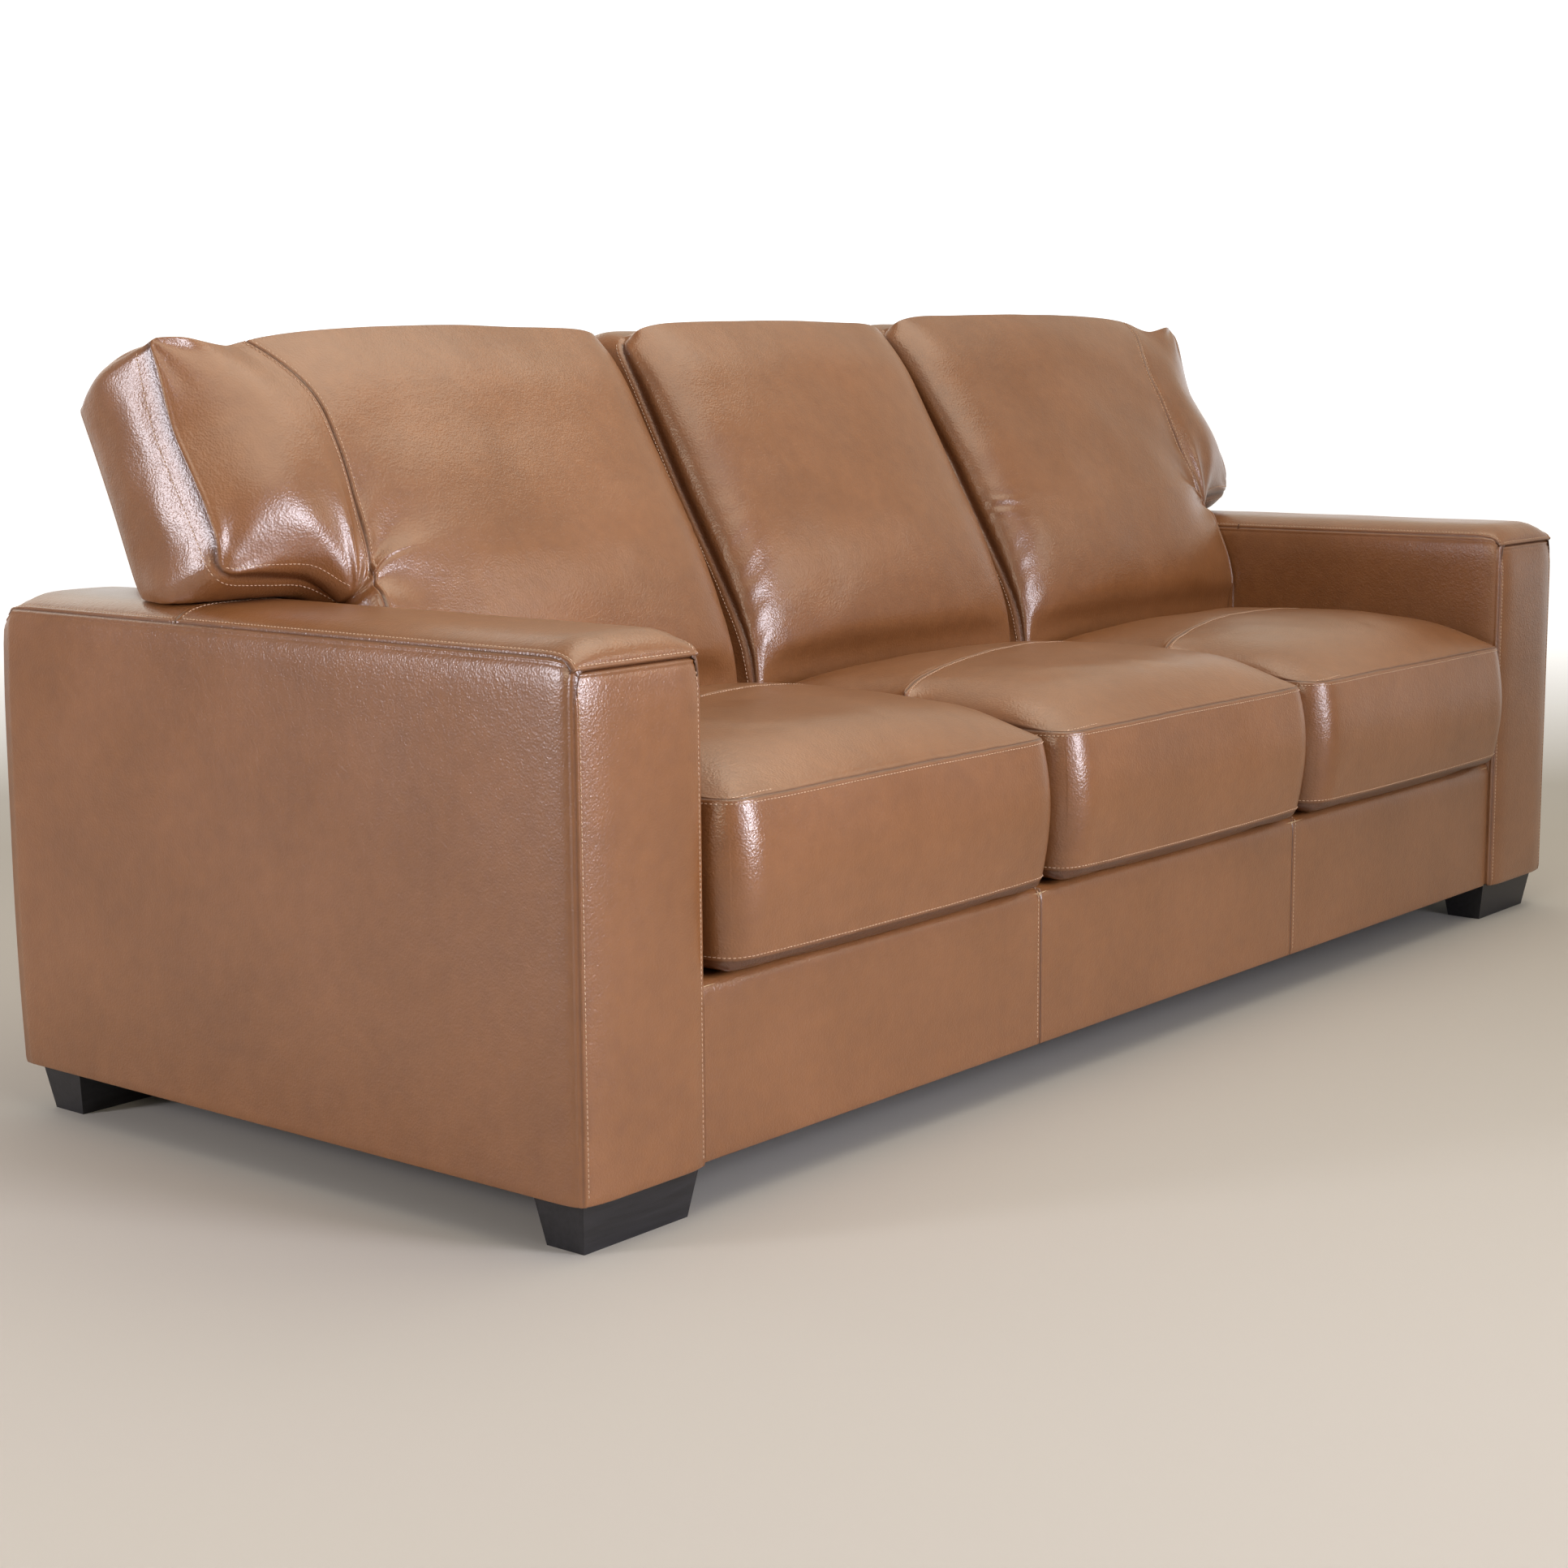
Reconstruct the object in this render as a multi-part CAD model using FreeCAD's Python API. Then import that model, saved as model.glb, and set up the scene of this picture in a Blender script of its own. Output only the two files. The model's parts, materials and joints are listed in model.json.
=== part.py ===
import FreeCAD, Part
import math
import os

os.makedirs("parts", exist_ok=True)

# A three-seat leather sofa. Millimetres, +X along the length, the front faces -Y, +Z up.
# The origin is the bottom centre of the bounding box, on the floor.
Vector = FreeCAD.Vector

# Overall size
LENGTH = 2240
DEPTH = 950
HEIGHT = 930
REAR = DEPTH / 2
CUSHION_FRONT = -DEPTH / 2
END = LENGTH / 2

# Upholstery thicknesses and gaps
LEATHER = 2
CLOTH = 1
GAP = 0.5
CUSHION_GAP = 6

# Legs
LEG_HEIGHT = 57
LEG_LONG = 174
LEG_WIDE = 71
LEG_TAPER = 9.5
LEG_INSET = 16
BOLT_RADIUS = 4
BOLT_OFFSET = 22
BOLT_LOW = 22
BOLT_HIGH = 96
HOLE_CLEARANCE = 0.2

# Arms
ARM_WIDTH = 195
ARM_FRONT = -447
ARM_SEAM = 600
ARM_FRONT_SEAM = 588
ARM_APEX = 640
ARM_CROWN_RADIUS = 140
ARM_TOP = 632
ARM_NOSE_RADIUS = 45
ARM_TAIL_RADIUS = 20
ARM_CROSS_SEAM = 164
ARM_FRAME_TOP = 570
INNER_FACE = END - ARM_WIDTH
PLY = 18
BOARD = 4
OUTER_WADDING = 10
INNER_FOAM = 22
FRONT_FOAM = 20
RAIL_WIDE = 30
RAIL_DEEP = 35
BOLT_RAIL_DEEP = 80

# Seat frame
RAIL = 25
FRAME_LOW = LEG_HEIGHT + CLOTH
FRAME_HIGH = 244
BASE_FRONT = -435
DECK_TOP = 250
DECK_LIP_REAR = -350
DECK_REAR = 104
SPRING_RAIL_Y = (79, 104)
CORNER_BLOCK = 60
SEAT_COUNT = 3
SEAT_PITCH = 2 * INNER_FACE / SEAT_COUNT
SPRINGS_PER_SEAT = 4
WIRE_RADIUS = 2
SPRING_PITCH = 32
SPRING_BARS = 17
SPRING_BAR_HALF = 20

# Back
BACK_LOW = 256
BACK_LOW_REAR = 116
BACK_SLOPE = 0.42
BACK_TOP_RAIL_HIGH = 820
BACK_TOP_RAIL_DEEP = 23
WEB_GAP = 3
WEB = 1.5
WEB_WIDE = 60
WEB_HEIGHTS = (330, 430, 530, 630, 730)
WING_LOW = 632
WING_HIGH = 908
WING_END = 1096

# The side outlines of the cushions: y, z and corner radius
SEAT_LOW = DECK_TOP + GAP
SEAT_SIDE = (
    (-448, SEAT_LOW, 18),
    (16, SEAT_LOW, 12),
    (16, 484, 16),
    (-80, 493, 300),
    (-300, 484, 300),
    (-464, 446, 22),
    (-476.2, 350, 220),
    (-471, 272, 16),
)
SEAT_TOP = 492
SEAT_CORNER = 24
BACK_SIDE = (
    (30, BACK_LOW, 12),
    (BACK_LOW_REAR, BACK_LOW, 12),
    (370, 861, 40),
    (342, 916, 40),
    (278, 946, 60),
    (200, 880, 90),
    (24, 490, 120),
)
BACK_CORNER = 42
BACK_LOW_CORNER = 16


def box(x, y, z):
    """A block from pairs of low and high coordinates."""
    return Part.makeBox(x[1] - x[0], y[1] - y[0], z[1] - z[0], Vector(x[0], y[0], z[0]))


def unit(a, b):
    """The direction from one point of an outline to the next."""
    length = math.hypot(b[0] - a[0], b[1] - a[1])
    return (b[0] - a[0]) / length, (b[1] - a[1]) / length


def turn_of(outline):
    """1 for an outline that runs anticlockwise, -1 for a clockwise one."""
    pairs = zip(outline, outline[1:] + outline[:1])
    return math.copysign(1, sum(a[0] * b[1] - b[0] * a[1] for a, b in pairs))


def inset(outline, distance):
    """The outline with every side moved inwards."""
    outline = tuple(outline)
    turn = turn_of(outline)
    moved = []
    for i, corner in enumerate(outline):
        before = unit(outline[i - 1], corner)
        after = unit(corner, outline[(i + 1) % len(outline)])
        cosine = before[0] * after[0] + before[1] * after[1]
        shift_a = -turn * (before[1] + after[1]) / (1 + cosine)
        shift_b = turn * (before[0] + after[0]) / (1 + cosine)
        outward = turn * (before[0] * after[1] - before[1] * after[0]) > 0
        radius = max(corner[2] - distance, 0) if outward else corner[2] + distance
        moved.append((corner[0] + distance * shift_a, corner[1] + distance * shift_b, radius))
    return tuple(moved)


def corner_points(outline, i):
    """Where the round of one corner starts, its middle and its end."""
    corner = outline[i]
    back = unit(corner, outline[i - 1])
    ahead = unit(corner, outline[(i + 1) % len(outline)])
    half = math.acos(back[0] * ahead[0] + back[1] * ahead[1]) / 2
    reach = corner[2] / math.tan(half)
    start = corner[0] + reach * back[0], corner[1] + reach * back[1]
    end = corner[0] + reach * ahead[0], corner[1] + reach * ahead[1]
    middle = unit((0, 0), (back[0] + ahead[0], back[1] + ahead[1]))
    depth = corner[2] / math.sin(half) - corner[2]
    return start, (corner[0] + depth * middle[0], corner[1] + depth * middle[1]), end


def face_of(outline, place):
    """A face inside an outline with rounded corners. place turns its two numbers into a point."""
    rounds = [corner_points(outline, i) for i in range(len(outline))]
    edges = []
    for i, (start, middle, end) in enumerate(rounds):
        if outline[i][2] > 0:
            edges.append(Part.Arc(place(*start), place(*middle), place(*end)).toShape())
        following = rounds[(i + 1) % len(rounds)][0]
        if math.hypot(following[0] - end[0], following[1] - end[1]) > 1e-4:
            edges.append(Part.LineSegment(place(*end), place(*following)).toShape())
    return Part.Face(Part.Wire(Part.__sortEdges__(edges)))


def along_x(outline, low, high):
    """A solid with this side outline, from one x to another."""
    return face_of(outline, lambda y, z: Vector(low, y, z)).extrude(Vector(high - low, 0, 0))


def along_y(outline, low, high):
    """A solid with this front outline, from one y to another."""
    return face_of(outline, lambda x, z: Vector(x, low, z)).extrude(Vector(0, high - low, 0))


def along_z(outline, low, high):
    """A solid with this plan outline, from one z to another."""
    return face_of(outline, lambda x, y: Vector(x, y, low)).extrude(Vector(0, 0, high - low))


def sharp(*points):
    """An outline with no rounded corners."""
    return tuple((a, b, 0) for a, b in points)


def cylinder(radius, low, length, axis):
    """A round bar that starts at a point and runs along an axis."""
    return Part.makeCylinder(radius, length, Vector(*low), Vector(*axis))


def mirrored(shape):
    """The same shape on the other side of the sofa."""
    return shape.mirror(Vector(0, 0, 0), Vector(1, 0, 0))


def both(shape):
    """A shape and its mirror image, as separate solids."""
    return [shape, mirrored(shape)]


def save(node, *shapes):
    """Writes one node, a group of separate solids where it has several."""
    solids = [solid for shape in shapes for solid in shape.Solids]
    whole = solids[0] if len(solids) == 1 else Part.makeCompound(solids)
    whole.exportStep("parts/" + node + ".step")


def save_sides(name, *shapes):
    """Writes the left node from shapes on the left side, and the right node from their mirror images."""
    save("left_" + name, *shapes)
    save("right_" + name, *[mirrored(shape) for shape in shapes])


# ---- legs and their bolts


def leg_centre(front):
    """The middle of a left leg in plan."""
    x = -END + LEG_INSET + LEG_LONG / 2
    y = ARM_FRONT + LEG_INSET + LEG_WIDE / 2 if front else REAR - LEG_INSET - LEG_WIDE / 2
    return x, y


def leg_outline(x, y, z, shrink):
    """A level rectangle round a leg."""
    half_x = LEG_LONG / 2 - shrink
    half_y = LEG_WIDE / 2 - shrink
    signs = ((-1, -1), (1, -1), (1, 1), (-1, 1), (-1, -1))
    return Part.makePolygon([Vector(x + a * half_x, y + b * half_y, z) for a, b in signs])


def leg_bolt_places():
    """The plan position of every leg bolt on the left side."""
    places = []
    for front in (True, False):
        x, y = leg_centre(front)
        places += [(x - BOLT_OFFSET, y), (x + BOLT_OFFSET, y)]
    return places


def drilled(shape, radius):
    """The shape with a hole for each leg bolt on the left side."""
    for x, y in leg_bolt_places():
        shape = shape.cut(cylinder(radius, (x, y, BOLT_LOW), BOLT_HIGH - BOLT_LOW, (0, 0, 1)))
    return shape


def leg(front):
    """A tapered block with holes for two hanger bolts."""
    x, y = leg_centre(front)
    rings = [leg_outline(x, y, 0, LEG_TAPER), leg_outline(x, y, LEG_HEIGHT, 0)]
    return drilled(Part.makeLoft(rings, True, True), BOLT_RADIUS + HOLE_CLEARANCE)


TEE_RADIUS = 5.6
TEE_FLANGE_RADIUS = 11
TEE_FLANGE = 1.5
TEE_LENGTH = 12
ARM_FLOOR = FRAME_LOW + RAIL


def tee_nut(x, y):
    """A flanged barrel nut seated in the arm's bottom board from above."""
    barrel = cylinder(TEE_RADIUS, (x, y, ARM_FLOOR - TEE_LENGTH), TEE_LENGTH, (0, 0, 1))
    flange = cylinder(TEE_FLANGE_RADIUS, (x, y, ARM_FLOOR), TEE_FLANGE, (0, 0, 1))
    hole_low = ARM_FLOOR - TEE_LENGTH
    bore = cylinder(BOLT_RADIUS + HOLE_CLEARANCE, (x, y, hole_low), TEE_LENGTH + TEE_FLANGE, (0, 0, 1))
    return barrel.fuse(flange).cut(bore)


def make_legs():
    save_sides("front_leg", leg(True))
    save_sides("rear_leg", leg(False))
    bolts = []
    nuts = []
    for x, y in leg_bolt_places():
        bolts += both(cylinder(BOLT_RADIUS, (x, y, BOLT_LOW), BOLT_HIGH - BOLT_LOW, (0, 0, 1)))
        nuts += both(tee_nut(x, y))
    save("leg_hanger_bolts", *bolts)
    save("leg_tee_nuts", *nuts)


# ---- arms, built on the left side

ARM_FRAME_X = (-END + LEATHER + OUTER_WADDING + BOARD, -INNER_FACE - LEATHER - INNER_FOAM - BOARD)
ARM_FRAME_Y = (ARM_FRONT + LEATHER + FRONT_FOAM, REAR - LEATHER)
ARM_BOLT_Y = (-300, 0, 300)
ARM_BOLT_Z = 123
ARM_BOLT_LENGTH = 85
ARM_BOLT_HEAD = 5.5
ARM_BOLT_HEAD_RADIUS = 8


def arm_bolt(y, radius):
    """The shank of a bolt from inside the seat frame into the arm."""
    return cylinder(radius, (-INNER_FACE + RAIL, y, ARM_BOLT_Z), ARM_BOLT_LENGTH, (-1, 0, 0))


def bolted(shape):
    """The shape with a hole for each bolt that joins the arm to the seat frame."""
    for y in ARM_BOLT_Y:
        shape = shape.cut(arm_bolt(y, BOLT_RADIUS + HOLE_CLEARANCE))
    return shape


def arm_top_block(distance):
    """The crowned top of the arm with its rounded nose, inset by a distance."""
    front = inset(
        (
            (-END, DECK_TOP, 0),
            (-INNER_FACE, DECK_TOP, 0),
            (-INNER_FACE, ARM_SEAM, 0),
            (-(END + INNER_FACE) / 2, ARM_APEX, ARM_CROWN_RADIUS),
            (-END, ARM_SEAM, 0),
        ),
        distance,
    )
    side = inset(
        (
            (ARM_FRONT, DECK_TOP, 0),
            (REAR, DECK_TOP, 0),
            (REAR, ARM_TOP, ARM_TAIL_RADIUS),
            (ARM_FRONT, ARM_TOP, ARM_NOSE_RADIUS),
        ),
        distance,
    )
    return along_y(front, -DEPTH, DEPTH).common(along_x(side, -LENGTH, 0))


def arm_top_leather():
    """The leather over the arm's top, down to the seams round its edge."""
    shell = arm_top_block(0).cut(arm_top_block(LEATHER))
    behind_front = ARM_FRONT + LEATHER
    keep = sharp(
        (-DEPTH, ARM_FRONT_SEAM),
        (behind_front, ARM_FRONT_SEAM),
        (behind_front, ARM_SEAM),
        (DEPTH, ARM_SEAM),
        (DEPTH, HEIGHT),
        (-DEPTH, HEIGHT),
    )
    return shell.common(along_x(keep, -LENGTH, 0))


def make_arm_frame():
    x, y = ARM_FRAME_X, ARM_FRAME_Y
    between = (y[0] + PLY, y[1] - PLY)
    upright = (ARM_FLOOR, ARM_FRAME_TOP)
    save_sides("arm_end_boards", box(x, (y[0], between[0]), upright), box(x, (between[1], y[1]), upright))
    floor = drilled(box(x, y, (FRAME_LOW, ARM_FLOOR)), TEE_RADIUS + HOLE_CLEARANCE)
    top = (ARM_FRAME_TOP - RAIL_DEEP, ARM_FRAME_TOP)
    outer = box((x[0], x[0] + RAIL_WIDE), between, top)
    inner = box((x[1] - RAIL_WIDE, x[1]), between, top)
    bolt_rail = bolted(box((x[1] - RAIL_WIDE, x[1]), between, (ARM_FLOOR, ARM_FLOOR + BOLT_RAIL_DEEP)))
    save_sides("arm_rails", floor, outer, inner, bolt_rail)
    tall = (FRAME_LOW, ARM_FRAME_TOP)
    save_sides(
        "arm_side_boards",
        box((x[0] - BOARD, x[0]), y, tall),
        bolted(box((x[1], x[1] + BOARD), y, tall)),
    )


def make_arm_padding():
    x, y = ARM_FRAME_X, ARM_FRAME_Y
    tall = (FRAME_LOW, ARM_FRAME_TOP)
    outer = box((-END + LEATHER, x[0] - BOARD), y, tall)
    inner = bolted(box((x[1] + BOARD, -INNER_FACE - LEATHER), y, tall))
    front = box((-END + LEATHER, -INNER_FACE - LEATHER), (ARM_FRONT + LEATHER, y[0]), tall)
    save_sides("arm_side_padding", outer, inner, front)
    above = box((-LENGTH, 0), (-DEPTH, DEPTH), (ARM_FRAME_TOP, HEIGHT))
    save_sides("arm_top_pad", arm_top_block(LEATHER + GAP).common(above))


def make_arm_leather():
    side_y = (ARM_FRONT + LEATHER, REAR)
    tall = (LEG_HEIGHT, ARM_SEAM)
    plan = sharp(
        (-END, side_y[0]),
        (-END + LEATHER, side_y[0]),
        (-END + LEATHER, REAR - LEATHER),
        (-INNER_FACE, REAR - LEATHER),
        (-INNER_FACE, REAR),
        (-END, REAR),
    )
    save_sides("arm_outside_panel", along_z(plan, *tall))
    inner = box((-INNER_FACE - LEATHER, -INNER_FACE), (side_y[0], REAR - LEATHER), (FRAME_LOW, ARM_SEAM))
    save_sides("arm_inside_panel", bolted(inner))
    front = box((-END, -INNER_FACE), (ARM_FRONT, side_y[0]), (LEG_HEIGHT, ARM_FRONT_SEAM))
    save_sides("arm_front_panel", front)
    top = arm_top_leather()
    everywhere = (-LENGTH, LENGTH)
    ahead = box(everywhere, (-DEPTH, ARM_CROSS_SEAM), (0, HEIGHT))
    behind = box(everywhere, (ARM_CROSS_SEAM, DEPTH), (0, HEIGHT))
    save_sides("arm_top_front_panel", top.common(ahead))
    save_sides("arm_top_rear_panel", top.common(behind))


# ---- seat frame, springs and deck

FRAME_REAR = REAR - LEATHER - BOARD
RAIL_FRONT_Y = (BASE_FRONT + LEATHER, BASE_FRONT + LEATHER + RAIL)
RAIL_REAR_Y = (FRAME_REAR - RAIL, FRAME_REAR)
SPRING_Z = FRAME_HIGH + WIRE_RADIUS + GAP
SPRING_FRONT = (RAIL_FRONT_Y[0] + RAIL_FRONT_Y[1]) / 2
CLIP_X = 24
CLIP_Y = 12
CLIP_HIGH = 4.8


def seat_edges():
    """The x of each line between seats, ends included."""
    return [-INNER_FACE + i * SEAT_PITCH for i in range(SEAT_COUNT + 1)]


def seat_centre(i):
    """The middle x of a seat, counted from the left."""
    return -INNER_FACE + (i + 0.5) * SEAT_PITCH


def spring_places():
    """The x of every sinuous spring."""
    spacing = SEAT_PITCH / SPRINGS_PER_SEAT
    steps = [spacing * (j + 0.5) - SEAT_PITCH / 2 for j in range(SPRINGS_PER_SEAT)]
    return [seat_centre(i) + step for i in range(SEAT_COUNT) for step in steps]


def spring():
    """One zigzag spring at x = 0, bars along X joined by half rings."""
    edges = []
    side = 1
    for i in range(SPRING_BARS):
        y = SPRING_FRONT + i * SPRING_PITCH
        start = Vector(-side * SPRING_BAR_HALF, y, SPRING_Z)
        end = Vector(side * SPRING_BAR_HALF, y, SPRING_Z)
        edges.append(Part.LineSegment(start, end).toShape())
        if i < SPRING_BARS - 1:
            bulge = Vector(side * (SPRING_BAR_HALF + SPRING_PITCH / 2), y + SPRING_PITCH / 2, SPRING_Z)
            after = Vector(side * SPRING_BAR_HALF, y + SPRING_PITCH, SPRING_Z)
            edges.append(Part.Arc(end, bulge, after).toShape())
        side = -side
    first = Vector(-SPRING_BAR_HALF, SPRING_FRONT, SPRING_Z)
    ring = Part.Wire([Part.makeCircle(WIRE_RADIUS, first, Vector(1, 0, 0))])
    return Part.Wire(edges).makePipeShell([ring], True, False)


def clip(x, y):
    """A block clip round the end bar of a spring."""
    clip_x = (x - CLIP_X / 2, x + CLIP_X / 2)
    clip_y = (y - CLIP_Y / 2, y + CLIP_Y / 2)
    body = box(clip_x, clip_y, (FRAME_HIGH, FRAME_HIGH + CLIP_HIGH))
    hole = cylinder(WIRE_RADIUS + HOLE_CLEARANCE, (x - CLIP_X, y, SPRING_Z), 2 * CLIP_X, (1, 0, 0))
    return body.cut(hole)


def make_seat_frame():
    tall = (FRAME_LOW, FRAME_HIGH)
    whole = (-INNER_FACE, INNER_FACE)
    save("seat_front_rail", box(whole, RAIL_FRONT_Y, tall))
    save("seat_rear_rail", box(whole, RAIL_REAR_Y, tall))
    between = (RAIL_FRONT_Y[1], RAIL_REAR_Y[0])
    end_rail = bolted(box((-INNER_FACE, -INNER_FACE + RAIL), between, tall))
    middle = SEAT_PITCH / 2
    middle_rail = box((-middle - RAIL / 2, -middle + RAIL / 2), between, tall)
    save("seat_cross_rails", *both(end_rail), *both(middle_rail))
    outer = (-INNER_FACE + RAIL, -middle - RAIL / 2)
    centre = (-middle + RAIL / 2, middle - RAIL / 2)
    upper = (FRAME_HIGH - BOLT_RAIL_DEEP, FRAME_HIGH)
    save("spring_rear_rails", *both(box(outer, SPRING_RAIL_Y, upper)), box(centre, SPRING_RAIL_Y, upper))
    corner_x = -INNER_FACE + RAIL
    blocks = []
    for y, inward in ((between[0], 1), (between[1], -1)):
        triangle = sharp(
            (corner_x, y),
            (corner_x + CORNER_BLOCK, y),
            (corner_x, y + inward * CORNER_BLOCK),
        )
        blocks += both(along_z(triangle, *upper))
    save("corner_blocks", *blocks)


def make_springs():
    one = spring()
    rear = SPRING_FRONT + (SPRING_BARS - 1) * SPRING_PITCH
    springs = []
    clips = []
    for x in spring_places():
        copy = one.copy()
        copy.translate(Vector(x, 0, 0))
        springs.append(copy)
        clips += [clip(x, SPRING_FRONT), clip(x, rear)]
    save("sinuous_springs", *springs)
    save("spring_clips", *clips)


def make_arm_bolts():
    bolts = []
    for y in ARM_BOLT_Y:
        head_low = (-INNER_FACE + RAIL, y, ARM_BOLT_Z)
        head = cylinder(ARM_BOLT_HEAD_RADIUS, head_low, ARM_BOLT_HEAD, (1, 0, 0))
        bolts += both(arm_bolt(y, BOLT_RADIUS).fuse(head))
    save("arm_bolts", *bolts)


def make_base_covers():
    side = sharp(
        (BASE_FRONT, LEG_HEIGHT),
        (BASE_FRONT + LEATHER, LEG_HEIGHT),
        (BASE_FRONT + LEATHER, DECK_TOP - CLOTH),
        (DECK_LIP_REAR, DECK_TOP - CLOTH),
        (DECK_LIP_REAR, DECK_TOP),
        (BASE_FRONT, DECK_TOP),
    )
    edges = seat_edges()
    for name, low, high in zip(("left", "middle", "right"), edges, edges[1:]):
        save("base_front_" + name + "_panel", along_x(side, low, high))
    deck_z = (DECK_TOP - CLOTH, DECK_TOP)
    save("seat_deck_cloth", box((edges[0], edges[-1]), (DECK_LIP_REAR, DECK_REAR), deck_z))
    under_x = (-END + LEATHER + GAP, END - LEATHER - GAP)
    under_y = (BASE_FRONT + LEATHER + GAP, REAR - LEATHER - GAP)
    under = box(under_x, under_y, (LEG_HEIGHT, FRAME_LOW))
    clear = TEE_RADIUS + HOLE_CLEARANCE
    save("dust_cover", mirrored(drilled(mirrored(drilled(under, clear)), clear)))


# ---- back frame and outside back

BACK_HALF = INNER_FACE - LEATHER


def back_plane(z):
    """The y of the back cushions' rear face at a height."""
    return BACK_LOW_REAR + (z - BACK_LOW) * BACK_SLOPE


def make_back_frame():
    rail_low = BACK_TOP_RAIL_HIGH - BACK_TOP_RAIL_DEEP
    side = sharp(
        (back_plane(FRAME_HIGH) + WEB_GAP, FRAME_HIGH),
        (FRAME_REAR, FRAME_HIGH),
        (FRAME_REAR, rail_low),
        (back_plane(rail_low) + WEB_GAP, rail_low),
    )
    middle = SEAT_PITCH / 2
    outer = along_x(side, -BACK_HALF, -BACK_HALF + PLY)
    inner = along_x(side, -middle - PLY / 2, -middle + PLY / 2)
    save("back_uprights", *both(outer), *both(inner))
    top_front = back_plane(BACK_TOP_RAIL_HIGH) + WEB_GAP
    whole = (-BACK_HALF, BACK_HALF)
    save("back_top_rail", box(whole, (top_front, FRAME_REAR), (rail_low, BACK_TOP_RAIL_HIGH)))
    straps = []
    near = (WEB_GAP - WEB) / 2
    for z in WEB_HEIGHTS:
        strap = sharp(
            (back_plane(z) + near, z),
            (back_plane(z) + near + WEB, z),
            (back_plane(z + WEB_WIDE) + near + WEB, z + WEB_WIDE),
            (back_plane(z + WEB_WIDE) + near, z + WEB_WIDE),
        )
        straps.append(along_x(strap, *whole))
    save("back_webbing", *straps)


def make_outside_back():
    board_y = (FRAME_REAR, FRAME_REAR + BOARD)
    save("outside_back_board", box((-BACK_HALF, BACK_HALF), board_y, (FRAME_LOW, BACK_TOP_RAIL_HIGH)))
    over = BACK_TOP_RAIL_HIGH + LEATHER
    top_front = back_plane(over) + WEB_GAP
    side = sharp(
        (REAR - LEATHER, LEG_HEIGHT),
        (REAR, LEG_HEIGHT),
        (REAR, over),
        (top_front, over),
        (top_front, BACK_TOP_RAIL_HIGH),
        (REAR - LEATHER, BACK_TOP_RAIL_HIGH),
    )
    end = sharp(
        (back_plane(ARM_FRAME_TOP) + WEB_GAP, ARM_FRAME_TOP),
        (REAR, ARM_FRAME_TOP),
        (REAR, over),
        (top_front, over),
    )
    left_end = along_x(end, -INNER_FACE, -BACK_HALF)
    panel = along_x(side, -INNER_FACE, INNER_FACE).fuse([left_end, mirrored(left_end)])
    save("outside_back_panel", panel.removeSplitter())


# ---- cushions

OPENING_MARGIN = 40


def seat_front_outline(i):
    """The front outline of one seat cushion."""
    low = seat_centre(i) - SEAT_PITCH / 2 + CUSHION_GAP / 2
    high = seat_centre(i) + SEAT_PITCH / 2 - CUSHION_GAP / 2
    return (
        (low, SEAT_LOW, SEAT_CORNER / 2),
        (high, SEAT_LOW, SEAT_CORNER / 2),
        (high, SEAT_TOP, SEAT_CORNER),
        (low, SEAT_TOP, SEAT_CORNER),
    )


def cushion_block(side, front, distance):
    """The solid that a side outline and a front outline share, inset by a distance."""
    across = along_x(inset(side, distance), -LENGTH, LENGTH)
    return across.common(along_y(inset(front, distance), -DEPTH, DEPTH))


def make_seat_cushion(name, i):
    front = seat_front_outline(i)
    outer = cushion_block(SEAT_SIDE, front, 0)
    inner = cushion_block(SEAT_SIDE, front, LEATHER)
    hole_x = (front[0][0] + OPENING_MARGIN, front[1][0] - OPENING_MARGIN)
    hole_y = (SEAT_SIDE[0][0] + OPENING_MARGIN, SEAT_SIDE[1][0] - OPENING_MARGIN)
    hole = box(hole_x, hole_y, (SEAT_LOW - LEATHER, SEAT_LOW + 2 * LEATHER))
    save(name + "_seat_cover", outer.cut(inner).cut(hole))
    cloth_x = (hole_x[0] + GAP, hole_x[1] - GAP)
    cloth_y = (hole_y[0] + GAP, hole_y[1] - GAP)
    save(name + "_seat_underside", box(cloth_x, cloth_y, (SEAT_LOW, SEAT_LOW + LEATHER)))
    save(name + "_seat_foam", cushion_block(SEAT_SIDE, front, LEATHER + GAP))


def back_front_outline(i):
    """The front outline of one back cushion. An end cushion has a wing over the arm."""
    low = seat_centre(i) - SEAT_PITCH / 2 + CUSHION_GAP / 2
    high = seat_centre(i) + SEAT_PITCH / 2 - CUSHION_GAP / 2
    body = [
        (low, BACK_LOW, BACK_LOW_CORNER),
        (high, BACK_LOW, BACK_LOW_CORNER),
        (high, HEIGHT, BACK_CORNER),
        (low, HEIGHT, BACK_CORNER),
    ]
    if i == 0:
        wing = [
            (-WING_END, WING_HIGH, BACK_CORNER),
            (-WING_END, WING_LOW, BACK_CORNER / 2),
            (low, WING_LOW, 0),
        ]
        return tuple(body[:3] + wing)
    return tuple(body)


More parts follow.
